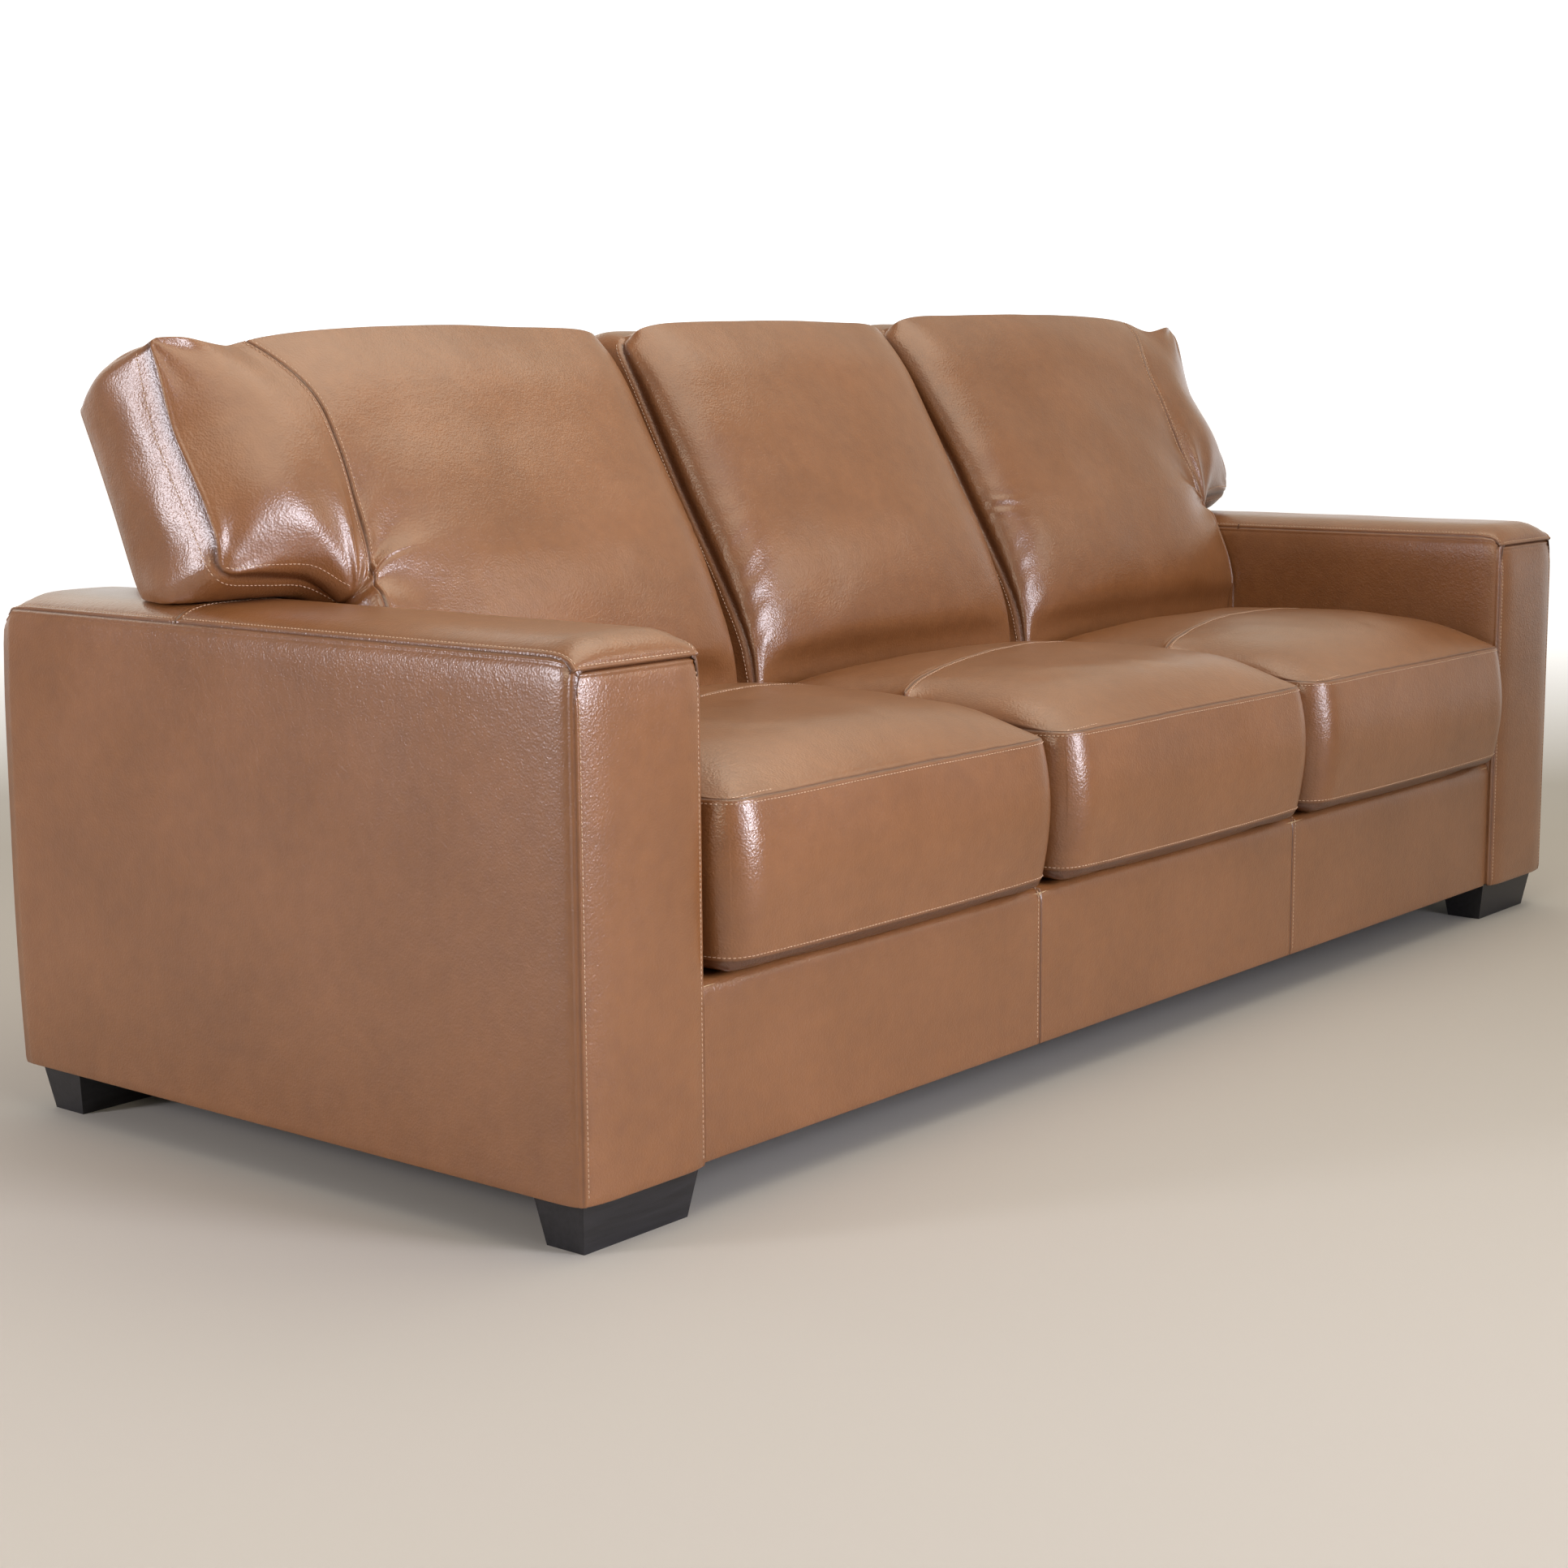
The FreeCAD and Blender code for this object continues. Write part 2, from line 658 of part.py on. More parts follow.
def make_back_cushion(i):
    """The cover and filling of one back cushion. The cover is open where it meets the webbing."""
    front = back_front_outline(i)
    outer = cushion_block(BACK_SIDE, front, 0)
    inner = cushion_block(BACK_SIDE, front, LEATHER)
    low_z = BACK_LOW + OPENING_MARGIN
    high_z = BACK_TOP_RAIL_HIGH - OPENING_MARGIN
    opening = sharp(
        (back_plane(low_z) - 2 * LEATHER, low_z),
        (back_plane(low_z) + 2 * LEATHER, low_z),
        (back_plane(high_z) + 2 * LEATHER, high_z),
        (back_plane(high_z) - 2 * LEATHER, high_z),
    )
    low_x = seat_centre(i) - SEAT_PITCH / 2 + OPENING_MARGIN
    high_x = seat_centre(i) + SEAT_PITCH / 2 - OPENING_MARGIN
    cover = outer.cut(inner).cut(along_x(opening, low_x, high_x))
    return cover, cushion_block(BACK_SIDE, front, LEATHER + GAP)


def make_back_cushions():
    cover, filling = make_back_cushion(0)
    save_sides("back_cover", cover)
    save_sides("back_filling", filling)
    cover, filling = make_back_cushion(1)
    save("middle_back_cover", cover)
    save("middle_back_filling", filling)


make_legs()
make_arm_frame()
make_arm_padding()
make_arm_leather()
make_seat_frame()
make_springs()
make_arm_bolts()
make_base_covers()
make_back_frame()
make_outside_back()
for index, place in enumerate(("left", "middle", "right")):
    make_seat_cushion(place, index)
make_back_cushions()
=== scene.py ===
import json
import math

import bpy
import numpy as np
from mathutils import Matrix, Vector, noise


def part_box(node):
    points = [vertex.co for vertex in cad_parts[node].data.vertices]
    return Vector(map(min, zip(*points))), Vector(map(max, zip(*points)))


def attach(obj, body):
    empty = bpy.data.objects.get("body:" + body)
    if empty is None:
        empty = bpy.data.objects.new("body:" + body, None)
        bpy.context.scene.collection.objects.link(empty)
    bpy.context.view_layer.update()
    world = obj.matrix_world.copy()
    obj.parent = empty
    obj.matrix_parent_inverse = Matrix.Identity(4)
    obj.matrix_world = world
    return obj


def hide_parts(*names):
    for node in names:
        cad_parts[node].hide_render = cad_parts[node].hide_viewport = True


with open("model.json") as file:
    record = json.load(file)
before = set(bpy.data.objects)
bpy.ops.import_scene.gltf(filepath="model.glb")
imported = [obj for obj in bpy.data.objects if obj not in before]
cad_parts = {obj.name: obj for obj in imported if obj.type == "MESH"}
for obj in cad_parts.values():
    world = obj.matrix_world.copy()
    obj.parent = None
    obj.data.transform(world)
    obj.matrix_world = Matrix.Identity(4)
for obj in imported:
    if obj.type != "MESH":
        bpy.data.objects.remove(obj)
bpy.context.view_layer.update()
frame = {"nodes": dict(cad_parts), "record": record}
scene = bpy.context.scene

# ---------------------------------------------------------------- camera
CAM_AT = Vector((-2.9458, -2.2083, 0.8826))
YAW, PITCH, ROLL = 0.8818, 0.1581, -0.0075
LENS = 61.65


def add_camera():
    forward = Vector((math.sin(YAW) * math.cos(PITCH), math.cos(YAW) * math.cos(PITCH), -math.sin(PITCH)))
    right = Vector((math.cos(YAW), -math.sin(YAW), 0))
    up = right.cross(forward)
    side = math.cos(ROLL) * right + math.sin(ROLL) * up
    top = -math.sin(ROLL) * right + math.cos(ROLL) * up
    data = bpy.data.cameras.new("camera")
    data.lens = LENS
    data.sensor_width = 36
    camera = bpy.data.objects.new("camera", data)
    camera.matrix_world = Matrix.Translation(CAM_AT) @ Matrix((side, top, -forward)).transposed().to_4x4()
    scene.collection.objects.link(camera)
    scene.camera = camera


add_camera()

# ---------------------------------------------------------------- sizes read from the frame, in metres
ARM_LOW, ARM_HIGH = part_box("left_arm_outside_panel")
END = -ARM_LOW.x
ARM_REAR = ARM_HIGH.y
ARM_SEAM = ARM_HIGH.z
UNDER = ARM_LOW.z
INNER = -ARM_HIGH.x
ARM_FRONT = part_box("left_arm_front_panel")[0].y
CROSS_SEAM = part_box("left_arm_top_front_panel")[1].y
BASE_LOW, BASE_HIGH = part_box("base_front_middle_panel")
BASE_FRONT = BASE_LOW.y
GAP_X, LIP_REAR, DECK = BASE_HIGH
BACK_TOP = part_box("outside_back_panel")[1].z
SKIN = 0.002
CROWN = 0.018
CROWN_POWER = 4.4
NOSE_DROP = 0.014


def mm(x):
    return x / 1000


# ---------------------------------------------------------------- small helpers


def lengths_along(line):
    return np.concatenate([[0], np.cumsum(np.linalg.norm(np.diff(line, axis=0), axis=1))])


def rounded(points, radius):
    """A fine line through points with its corners rounded."""
    pts = [np.array(p, float) for p in points]
    line = [pts[0]]
    for before, at, after in zip(pts, pts[1:], pts[2:]):
        a = (before - at) / np.linalg.norm(before - at)
        b = (after - at) / np.linalg.norm(after - at)
        half = math.acos(np.clip(a @ b, -1, 1)) / 2
        reach = radius / math.tan(half)
        centre = at + (a + b) / np.linalg.norm(a + b) * radius / math.sin(half)
        one, two = at + a * reach - centre, at + b * reach - centre
        angle = math.pi - 2 * half
        for i in range(13):
            f = i / 12
            w = (math.sin((1 - f) * angle) * one + math.sin(f * angle) * two) / math.sin(angle)
            line.append(centre + w)
    return np.array([*line, pts[-1]])


class Path:
    """A plane line that gives a point and a normal at any length along it."""

    def __init__(self, points, radius):
        self.line = rounded(points, radius)
        self.at = lengths_along(self.line)
        self.length = self.at[-1]

    def point(self, s):
        return np.stack([np.interp(s, self.at, self.line[:, i]) for i in range(2)], -1)

    def normal(self, s):
        e = 0.003
        d = self.point(np.clip(s + e, 0, self.length)) - self.point(np.clip(s - e, 0, self.length))
        d /= np.linalg.norm(d, axis=-1, keepdims=True)
        return stack(d[..., 1], -d[..., 0])


def spaced(low, high, step, marks=()):
    """Positions from low to high, close together near both ends and near each mark."""
    near = [0, 0.9, 1.9, 3.1, 4.4, 5.8, 7.4, 9.4, 12, 16]
    out = []
    for n in near:
        out += [low + mm(n), high - mm(n)]
        for m in marks:
            out += [m - mm(n), m + mm(n)]
    count = max(2, round((high - low) / step))
    for i in range(count + 1):
        p = low + (high - low) * i / count
        if min(abs(p - o) for o in [low, high, *marks]) > mm(16) + step * 0.4:
            out.append(p)
    out = sorted(set(round(o, 6) for o in out if low <= o <= high))
    kept = [out[0]]
    for o in out[1:]:
        if o - kept[-1] > mm(0.5):
            kept.append(o)
    kept[-1] = high
    return np.array(kept)


def unit(x):
    return np.clip(x, 0, 1)


def bell(x, size):
    return np.exp(-((x / size) ** 2))


def stack(*parts):
    return np.stack(parts, -1)


def seam_shape(d):
    """Height in metres at a distance from a seam: valley, turned allowance, stitch line."""
    d = d * 1000
    return 0.001 * (-2.6 * bell(d, 1.7) + 0.7 * bell(d - 3.4, 1.9) - 0.7 * bell(d - 6, 1.6))


def fade(x, low, high):
    t = unit((x - low) / (high - low))
    return t * t * (3 - 2 * t)


def noise_at(points, size, seed):
    """Smooth noise from -1 to 1 at each point."""
    shift = Vector((seed * 7.31, seed * 3.77, seed * 5.13))
    flat = points.reshape(-1, 3)
    return np.array([noise.noise(Vector(p) / size + shift) for p in flat]).reshape(points.shape[:-1])


def new_mesh(name, verts, faces, seam=None):
    mesh = bpy.data.meshes.new(name)
    mesh.from_pydata([tuple(map(float, v)) for v in verts], [], faces)
    mesh.polygons.foreach_set("use_smooth", [True] * len(mesh.polygons))
    if seam is not None:
        attribute = mesh.attributes.new("seam", "FLOAT", "POINT")
        attribute.data.foreach_set("value", np.asarray(seam, np.float32))
    obj = bpy.data.objects.new(name, mesh)
    scene.collection.objects.link(obj)
    return obj


def dress(obj, material, body):
    obj.data.materials.clear()
    obj.data.materials.append(material)
    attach(obj, body)
    return obj


def slab(name, upper, lower, seam=None):
    """A closed thin sheet between two grids of points."""
    n, m = upper.shape[:2]
    size = n * m
    faces = []
    for i in range(n - 1):
        for j in range(m - 1):
            q = (i * m + j, (i + 1) * m + j, (i + 1) * m + j + 1, i * m + j + 1)
            faces += [q, tuple(size + k for k in reversed(q))]
    rim = [i * m for i in range(n)] + [(n - 1) * m + j for j in range(1, m)]
    rim += [i * m + m - 1 for i in range(n - 2, -1, -1)] + list(range(m - 2, 0, -1))
    faces += [(two, one, size + one, size + two) for one, two in zip(rim, rim[1:] + rim[:1])]
    # the grid may run either way round
    corner = upper[0, 0]
    if np.cross(upper[1, 0] - corner, upper[0, 1] - corner) @ (corner - lower[0, 0]) < 0:
        faces = [tuple(reversed(f)) for f in faces]
    return new_mesh(name, np.concatenate([upper.reshape(-1, 3), lower.reshape(-1, 3)]), faces, seam)


def facing(like, direction):
    """The same normal at every point of a grid."""
    return np.broadcast_to(np.array(direction, float), (*like.shape, 3))


ROOT = "sofa_frame"
SIDES = ("left", "middle", "right")

# ---------------------------------------------------------------- materials


def put(tree, socket, value):
    """Links a socket to another one, or sets its value."""
    if isinstance(value, bpy.types.NodeSocket):
        tree.links.new(value, socket)
    else:
        socket.default_value = value


def node(tree, kind, **values):
    """A shader node. Each value is a setting, or goes to the input of that name, written with _ for a space."""
    n = tree.nodes.new("ShaderNode" + kind)
    for key, value in values.items():
        name = key.replace("_", " ")
        if name in n.inputs:
            put(tree, n.inputs[name], value)
        else:
            setattr(n, key, value)
    return n


def start_material(name):
    material = bpy.data.materials.new(name)
    material.use_nodes = True
    tree = material.node_tree
    tree.nodes.clear()
    return material, tree, node(tree, "TexCoord").outputs["Object"]


def shade(material, **values):
    tree = material.node_tree
    shader = node(tree, "BsdfPrincipled", **values)
    node(tree, "OutputMaterial", Surface=shader.outputs[0])
    return material


def ramp(tree, value, stops):
    r = node(tree, "ValToRGB", Fac=value)
    while len(r.color_ramp.elements) < len(stops):
        r.color_ramp.elements.new(0.5)
    for element, (at, colour) in zip(r.color_ramp.elements, stops):
        element.position = at
        element.color = (*colour, 1)
    return r.outputs[0]


def mapped(tree, value, low, high, start=0.0, stop=1.0):
    """Low to high, as value goes from start to stop."""
    ends = {"From Min": start, "From Max": stop, "To Min": low, "To Max": high}
    return node(tree, "MapRange", Value=value, **ends).outputs[0]


def mixed(tree, factor, a, b, blend="MIX"):
    n = node(tree, "Mix", data_type="RGBA", blend_type=blend)
    for number, value in ((0, factor), (6, a), (7, b)):
        put(tree, n.inputs[number], value)
    return n.outputs[2]


def texture(tree, place, kind, scale, **values):
    outputs = node(tree, "Tex" + kind, Scale=scale, Vector=place, **values).outputs
    return outputs["Fac" if "Fac" in outputs else 0]


def bumped(tree, height, strength, distance, **below):
    return node(tree, "Bump", Strength=strength, Distance=distance, Height=height, **below).outputs[0]


def leather_material(name, dark, mid, light, rough, grain):
    """Semi-gloss leather: cloudy colour, painted shade along the seams, fine pebble grain."""
    material, tree, place = start_material(name)
    cloud = texture(tree, place, "Noise", 5.5, Detail=5.0, Roughness=0.55)
    colour = ramp(tree, cloud, [(0.32, dark), (0.5, mid), (0.68, light)])
    fine = texture(tree, place, "Noise", 55.0, Detail=4.0)
    mottle = mixed(tree, 0.22, colour, fine, "SOFT_LIGHT")
    # the seam mask: near 1 in the seam grooves and on hidden undersides
    seam = node(tree, "Attribute", attribute_name="seam").outputs["Fac"]
    patch = texture(tree, place, "Noise", 9.0, Detail=3.0)
    pebble = texture(tree, place, "Voronoi", 430.0, feature="SMOOTH_F1")
    crease = texture(tree, place, "Noise", 130.0, Detail=6.0, Roughness=0.6)
    pebbled = bumped(tree, pebble, grain, 0.0005)
    return shade(
        material,
        # painted shade: where the seam mask is high, the colour is multiplied by a dark brown
        Base_Color=mixed(tree, seam, mottle, (0.42, 0.33, 0.27, 1), "MULTIPLY"),
        Roughness=mapped(tree, patch, rough - 0.05, rough + 0.07),
        Specular_IOR_Level=1.0,
        Normal=bumped(tree, crease, grain * 0.8, 0.0009, Normal=pebbled),
    )


def wood_material(name, dark, light, rough, grain_scale, squeeze=(1, 12, 12)):
    """Wood with grain along X."""
    material, tree, place = start_material(name)
    stretch = node(tree, "Mapping", Vector=place, Scale=squeeze)
    rings = texture(tree, stretch.outputs[0], "Noise", grain_scale, Detail=8.0, Roughness=0.65)
    return shade(
        material,
        Base_Color=ramp(tree, rings, [(0.3, dark), (0.7, light)]),
        Roughness=mapped(tree, rings, rough - 0.06, rough + 0.1),
        Normal=bumped(tree, rings, 0.35, 0.0006),
    )


def cloth_material(name, dark, light, threads):
    """A plain weave, from two crossed sets of threads."""
    material, tree, place = start_material(name)
    weave = node(tree, "Math", operation="MULTIPLY")
    for socket, axis in zip(weave.inputs, "XY"):
        put(tree, socket, texture(tree, place, "Wave", threads, bands_direction=axis, Distortion=0.6))
    colour = ramp(tree, weave.outputs[0], [(0.0, dark), (0.8, light)])
    return shade(material, Base_Color=colour, Roughness=0.9, Normal=bumped(tree, weave.outputs[0], 0.5, 0.0004))


def metal_material(name, colour, rough):
    material, tree, place = start_material(name)
    scratch = texture(tree, place, "Noise", 260.0, Detail=5.0)
    tint = ramp(tree, scratch, [(0.3, [c * 0.8 for c in colour]), (0.7, colour)])
    return shade(material, Base_Color=tint, Roughness=mapped(tree, scratch, rough - 0.08, rough + 0.12), Metallic=1.0)


def thread_material(name, dark, light):
    material, tree, place = start_material(name)
    twist = texture(tree, place, "Wave", 420.0, bands_direction="DIAGONAL")
    return shade(material, Base_Color=ramp(tree, twist, [(0.0, dark), (1.0, light)]), Roughness=0.6)


LEATHER = leather_material(
    "caramel_leather", (0.200, 0.077, 0.024), (0.222, 0.087, 0.028), (0.245, 0.098, 0.034), rough=0.30, grain=0.6
)
THREAD = thread_material("tan_thread", (0.42, 0.26, 0.17), (0.68, 0.49, 0.35))
LEG = wood_material("charcoal_stained_wood", (0.008, 0.0078, 0.0095), (0.022, 0.021, 0.025), 0.45, 14.0)
RAW = wood_material("raw_wood", (0.38, 0.25, 0.13), (0.62, 0.46, 0.28), 0.7, 9.0)
BOARD = wood_material("fibreboard", (0.28, 0.19, 0.11), (0.42, 0.31, 0.19), 0.85, 90.0, (1, 1, 1))
FOAM = cloth_material("wadding", (0.6, 0.56, 0.45), (0.86, 0.83, 0.72), 60.0)
LINING = cloth_material("lining_cloth", (0.012, 0.010, 0.009), (0.05, 0.042, 0.036), 260.0)
WEBBING = cloth_material("webbing", (0.12, 0.08, 0.045), (0.36, 0.27, 0.17), 200.0)
WIRE = metal_material("spring_wire", (0.42, 0.42, 0.43), 0.38)
ZINC = metal_material("zinc_plate", (0.66, 0.66, 0.63), 0.34)
NODE_LOOKS = {
    "leg_wood": LEG, "frame_wood": RAW, "board": BOARD, "foam": FOAM, "deck_cloth": LINING,
    "webbing": WEBBING, "spring_steel": WIRE, "zinc_steel": ZINC, "leather": LEATHER,
}
for sub in frame["record"]["subparts"]:
    mesh = frame["nodes"][sub["node"]].data
    mesh.materials.clear()
    mesh.materials.append(NODE_LOOKS[sub["material_slot"]])

# ---------------------------------------------------------------- stitches


STITCH_INSET = 0.0062
CUSHION_STITCH = 0.00052
STITCH_PITCH, STITCH_LENGTH, STITCH_PROUD = 0.0054, 0.0039, 0.00038
# places along a stitch, as a share of its length, and how thick it is there
STITCH_SHAPE = [(-0.5, 0.35), (-0.36, 0.9), (0, 1.15), (0.36, 0.9), (0.5, 0.35)]
STITCH_SIDES = 6


def stitches(name, lines, body, radius=0.00060):
    """Short rounded stitches along lines of (points, normals), all in one mesh."""
    verts, faces = [], []
    ring = [(math.cos(a), math.sin(a)) for a in np.linspace(0, 2 * math.pi, STITCH_SIDES + 1)[:-1]]
    for points, normals in lines:
        at = lengths_along(points)

        def value(s, values, at=at):
            return np.array([np.interp(s, at, values[:, k]) for k in range(3)])

        for i in range(int((at[-1] - STITCH_LENGTH) / STITCH_PITCH)):
            s = STITCH_PITCH * (i + 0.5) + STITCH_LENGTH / 2
            along = value(s + 0.002, points) - value(s - 0.002, points)
            along /= np.linalg.norm(along) + 1e-12
            n = value(s, normals)
            n -= along * (n @ along)
            n /= np.linalg.norm(n) + 1e-12
            side = np.cross(along, n)
            base = len(verts)
            for t, thick in STITCH_SHAPE:
                centre = value(s, points) + along * t * STITCH_LENGTH + n * STITCH_PROUD * (1 - 2.2 * abs(t))
                verts += [centre + (side * x + n * y) * radius * thick for x, y in ring]
            for j in range(base, len(verts) - STITCH_SIDES, STITCH_SIDES):
                for k in range(STITCH_SIDES):
                    a, b = j + k, j + (k + 1) % STITCH_SIDES
                    faces.append((a, b, b + STITCH_SIDES, a + STITCH_SIDES))
            faces.append(tuple(base + k for k in reversed(range(STITCH_SIDES))))
            faces.append(tuple(range(len(verts) - STITCH_SIDES, len(verts))))
    return dress(new_mesh(name, verts, faces), THREAD, body)


# ---------------------------------------------------------------- upholstered panels of arms, base and back


def upholster(obj, cad, body=ROOT):
    """Leather over padding, in place of the CAD nodes named."""
    if cad:
        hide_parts(*cad)
    return dress(obj, LEATHER, body)


class Panel:
    """A stretched leather panel over a pad. base(a, b) gives points and normals. Each side has a drop, how far
    its edge turns in, over a run, and may be a sewn seam."""

    def __init__(self, name, a, b, base, sides, puff=0.0, rough=0.0008, seed=1, depth=1.0):
        self.name, self.a, self.b, self.base, self.sides = name, a, b, base, sides
        self.puff, self.rough, self.seed, self.depth = puff, rough, seed, depth

    def surface(self, a, b):
        points, normals = self.base(a, b)
        ends = (a - self.a[0], self.a[-1] - a, b - self.b[0], self.b[-1] - b)
        lift = np.zeros_like(a)
        swell = np.ones_like(a)
        seam = np.zeros_like(a)
        for distance, (drop, run, sewn) in zip(ends, self.sides):
            if run:
                lift = lift - drop * unit(1 - distance / run) ** 2
            swell = swell * (1 - np.exp(-((np.maximum(distance, 0) / 0.07) ** 1.5)))
            if sewn:
                lift = lift + self.depth * seam_shape(distance)
                # the seam mask, which the leather darkens as painted shade in the seam groove
                seam = np.maximum(seam, bell(distance, 0.0016))
        lift = lift + self.puff * swell
        if self.rough:
            inside = 1 - bell(np.minimum.reduce(ends).clip(0), 0.02)
            lift = lift + inside * self.rough * noise_at(points, 0.11, self.seed)
        return points + normals * lift[..., None], normals, seam

    def build(self):
        a, b = np.meshgrid(self.a, self.b, indexing="ij")
        points, normals, seam = self.surface(a, b)
        # the underside sheet gets the full seam mask, so it is darkened as painted shade
        return slab(self.name, points, points - normals * SKIN, np.concatenate([seam.ravel(), np.ones(seam.size)]))

    def row(self, side, distance=STITCH_INSET, trim=0.006):
        """A line along one side, a distance in from it."""
        grids = (self.a, self.b) if side < 2 else (self.b, self.a)
        at = grids[0][0] + distance if side % 2 == 0 else grids[0][-1] - distance
        along = np.linspace(grids[1][0] + trim, grids[1][-1] - trim, 260)
        level = np.full_like(along, at)
        return self.surface(level, along)[:2] if side < 2 else self.surface(along, level)[:2]


def mirrored_panel(panel):
    """The same panel on the other side of the sofa."""
    flip = np.array([-1, 1, 1])

    def base(a, b):
        points, normals = panel.base(a, b)
        return points * flip, normals * flip

    return Panel(
        panel.name, panel.a, panel.b, base, panel.sides, panel.puff, panel.rough, panel.seed + 10, panel.depth
    )


EDGE = 0.006
RUN = 0.026


def ellipse_line(front, rear, high, nose_y, nose_z, tail):
    """A line over the arm: up a quarter oval at the nose, level, and down a quarter round at the rear."""
    pts = []
    for i in range(25):
        angle = math.pi / 2 * i / 24
        pts.append((front + nose_y * (1 - math.cos(angle)), high - nose_z * (1 - math.sin(angle))))
    for i in range(1, 13):
        angle = math.pi / 2 * i / 12
        pts.append((rear - tail + tail * math.sin(angle), high - tail * (1 - math.cos(angle))))
    return np.array(pts), lengths_along(pts)


SIDE_LINE, SIDE_AT = ellipse_line(ARM_FRONT + 0.0058, ARM_REAR - EDGE, ARM_SEAM, 0.030, NOSE_DROP, 0.010)
MID_LINE, MID_AT = ellipse_line(
    ARM_FRONT + 0.0052, ARM_REAR - EDGE, ARM_SEAM + CROWN, 0.040, NOSE_DROP + CROWN, CROWN + 0.010
)
TOP_LENGTH = MID_AT[-1]
TOP_WIDTH = END - INNER - 2 * EDGE


def line_at(line, at, f):
    s = np.asarray(f) * at[-1]
    return np.stack([np.interp(s, at, line[:, k]) for k in range(2)], -1)


def arm_top_point(a, b):
    """a runs across the arm, 0 to 1, and b along its top, in metres."""
    f = b / TOP_LENGTH
    bulge = (1 - np.abs(2 * a - 1) ** CROWN_POWER)[..., None]
    yz = line_at(SIDE_LINE, SIDE_AT, f) * (1 - bulge) + line_at(MID_LINE, MID_AT, f) * bulge
    return stack(-END + EDGE + TOP_WIDTH * a, yz[..., 0], yz[..., 1])


def arm_top_base(a, b):
    u = (a - (-END + EDGE)) / TOP_WIDTH
    e = 0.002
    du = arm_top_point(unit(u + e), b) - arm_top_point(unit(u - e), b)
    db = arm_top_point(u, np.clip(b + e, 0, TOP_LENGTH)) - arm_top_point(u, np.clip(b - e, 0, TOP_LENGTH))
    n = np.cross(du, db)
    return arm_top_point(u, b), n / (np.linalg.norm(n, axis=-1, keepdims=True) + 1e-12)


def arm_top_height(x):
    """The height of the arm's top above the floor at a distance from the sofa's middle."""
    u = unit((np.abs(x) - INNER) / (END - INNER))
    return ARM_SEAM + CROWN * (1 - np.abs(2 * u - 1) ** CROWN_POWER)


SEWN, PLAIN = (0, 0, True), (0, 0, False)
FOLDED = (0.0014, 0.010, False)


def side_top(y):
    """The height of the arm's side seam."""
    front = unit((y - ARM_FRONT - EDGE) / 0.030)
    rear = unit((ARM_REAR - EDGE - y) / 0.010)
    return ARM_SEAM - NOSE_DROP * (1 - np.sqrt(1 - (1 - front) ** 2)) - 0.010 * (1 - np.sqrt(1 - (1 - rear) ** 2))


def side_height(foot, y, b):
    return foot + (side_top(y) - foot) * ((b - UNDER) / (ARM_SEAM - UNDER))


def build_arm(side):
    def make(name, cad, *args, **more):
        panel = Panel(f"{side}_{name}", *args, **more)
        if side == "right":
            panel = mirrored_panel(panel)
        upholster(panel.build(), [f"{side}_{part}" for part in cad])
        return panel

    cross = CROSS_SEAM - ARM_FRONT + 0.012
    across = spaced(-END + EDGE, -INNER - EDGE, 0.012)
    upright = spaced(UNDER, ARM_SEAM, 0.016)
    top_front = make(
        "arm_top_front", ["arm_top_front_panel", "arm_top_pad"], across, spaced(0, cross, 0.013),
        arm_top_base, [SEWN] * 4, seed=3,
    )
    top_rear = make(
        "arm_top_rear", ["arm_top_rear_panel"], across, spaced(cross, TOP_LENGTH, 0.013),
        arm_top_base, [SEWN] * 4, seed=4,
    )
    # from the front seam along the arm, round the rear corner and in to the inner edge
    plan = Path([(-END, ARM_FRONT + EDGE), (-END, ARM_REAR), (-INNER - 0.001, ARM_REAR)], 0.008)

    def outside_base(a, b):
        p, n = plan.point(a), -plan.normal(a)
        z = side_height(UNDER, p[..., 1], b)
        return stack(p[..., 0], p[..., 1], z), stack(n[..., 0], n[..., 1], np.zeros_like(z))

    make(
        "arm_outside", ["arm_outside_panel", "arm_side_padding"], spaced(0, plan.length, 0.016), upright,
        outside_base, [(EDGE, RUN, True), PLAIN, FOLDED, (EDGE, RUN, True)], puff=0.0035, seed=5,
    )

    def front_base(a, b):
        return stack(a, np.full_like(a, ARM_FRONT), b), facing(a, (0, -1, 0))

    front = make(
        "arm_front", ["arm_front_panel"], across, spaced(UNDER, ARM_SEAM - NOSE_DROP, 0.016), front_base,
        [(EDGE, 0.045, True), (EDGE, 0.035, True), FOLDED, (EDGE - 0.001, 0.045, True)], puff=0.003, seed=6,
    )

    def inside_base(a, b):
        return stack(np.full_like(a, -INNER), a, side_height(UNDER + SKIN, a, b)), facing(a, (1, 0, 0))

    make(
        "arm_inside", ["arm_inside_panel"], spaced(ARM_FRONT + EDGE, ARM_REAR - EDGE, 0.016), upright, inside_base,
        [(EDGE, 0.03, True), (0.003, 0.01, False), (0.001, 0.01, False), (EDGE, 0.03, True)], seed=7,
    )
    rows = [(top_front, 4), (top_rear, 2), (front, 2)]
    stitches(f"{side}_arm_stitching", [panel.row(i) for panel, count in rows for i in range(count)], ROOT)


build_arm("left")
build_arm("right")

# ---------------------------------------------------------------- base front and outside back


def swept_base(path, out):
    """Points on a line in y and z swept along X: a runs along X and b along the line."""

    def base(a, b):
        p, n = path.point(b), out * path.normal(b)
        return stack(a, p[..., 0], p[..., 1]), stack(np.zeros_like(a), n[..., 0], n[..., 1])

    return base


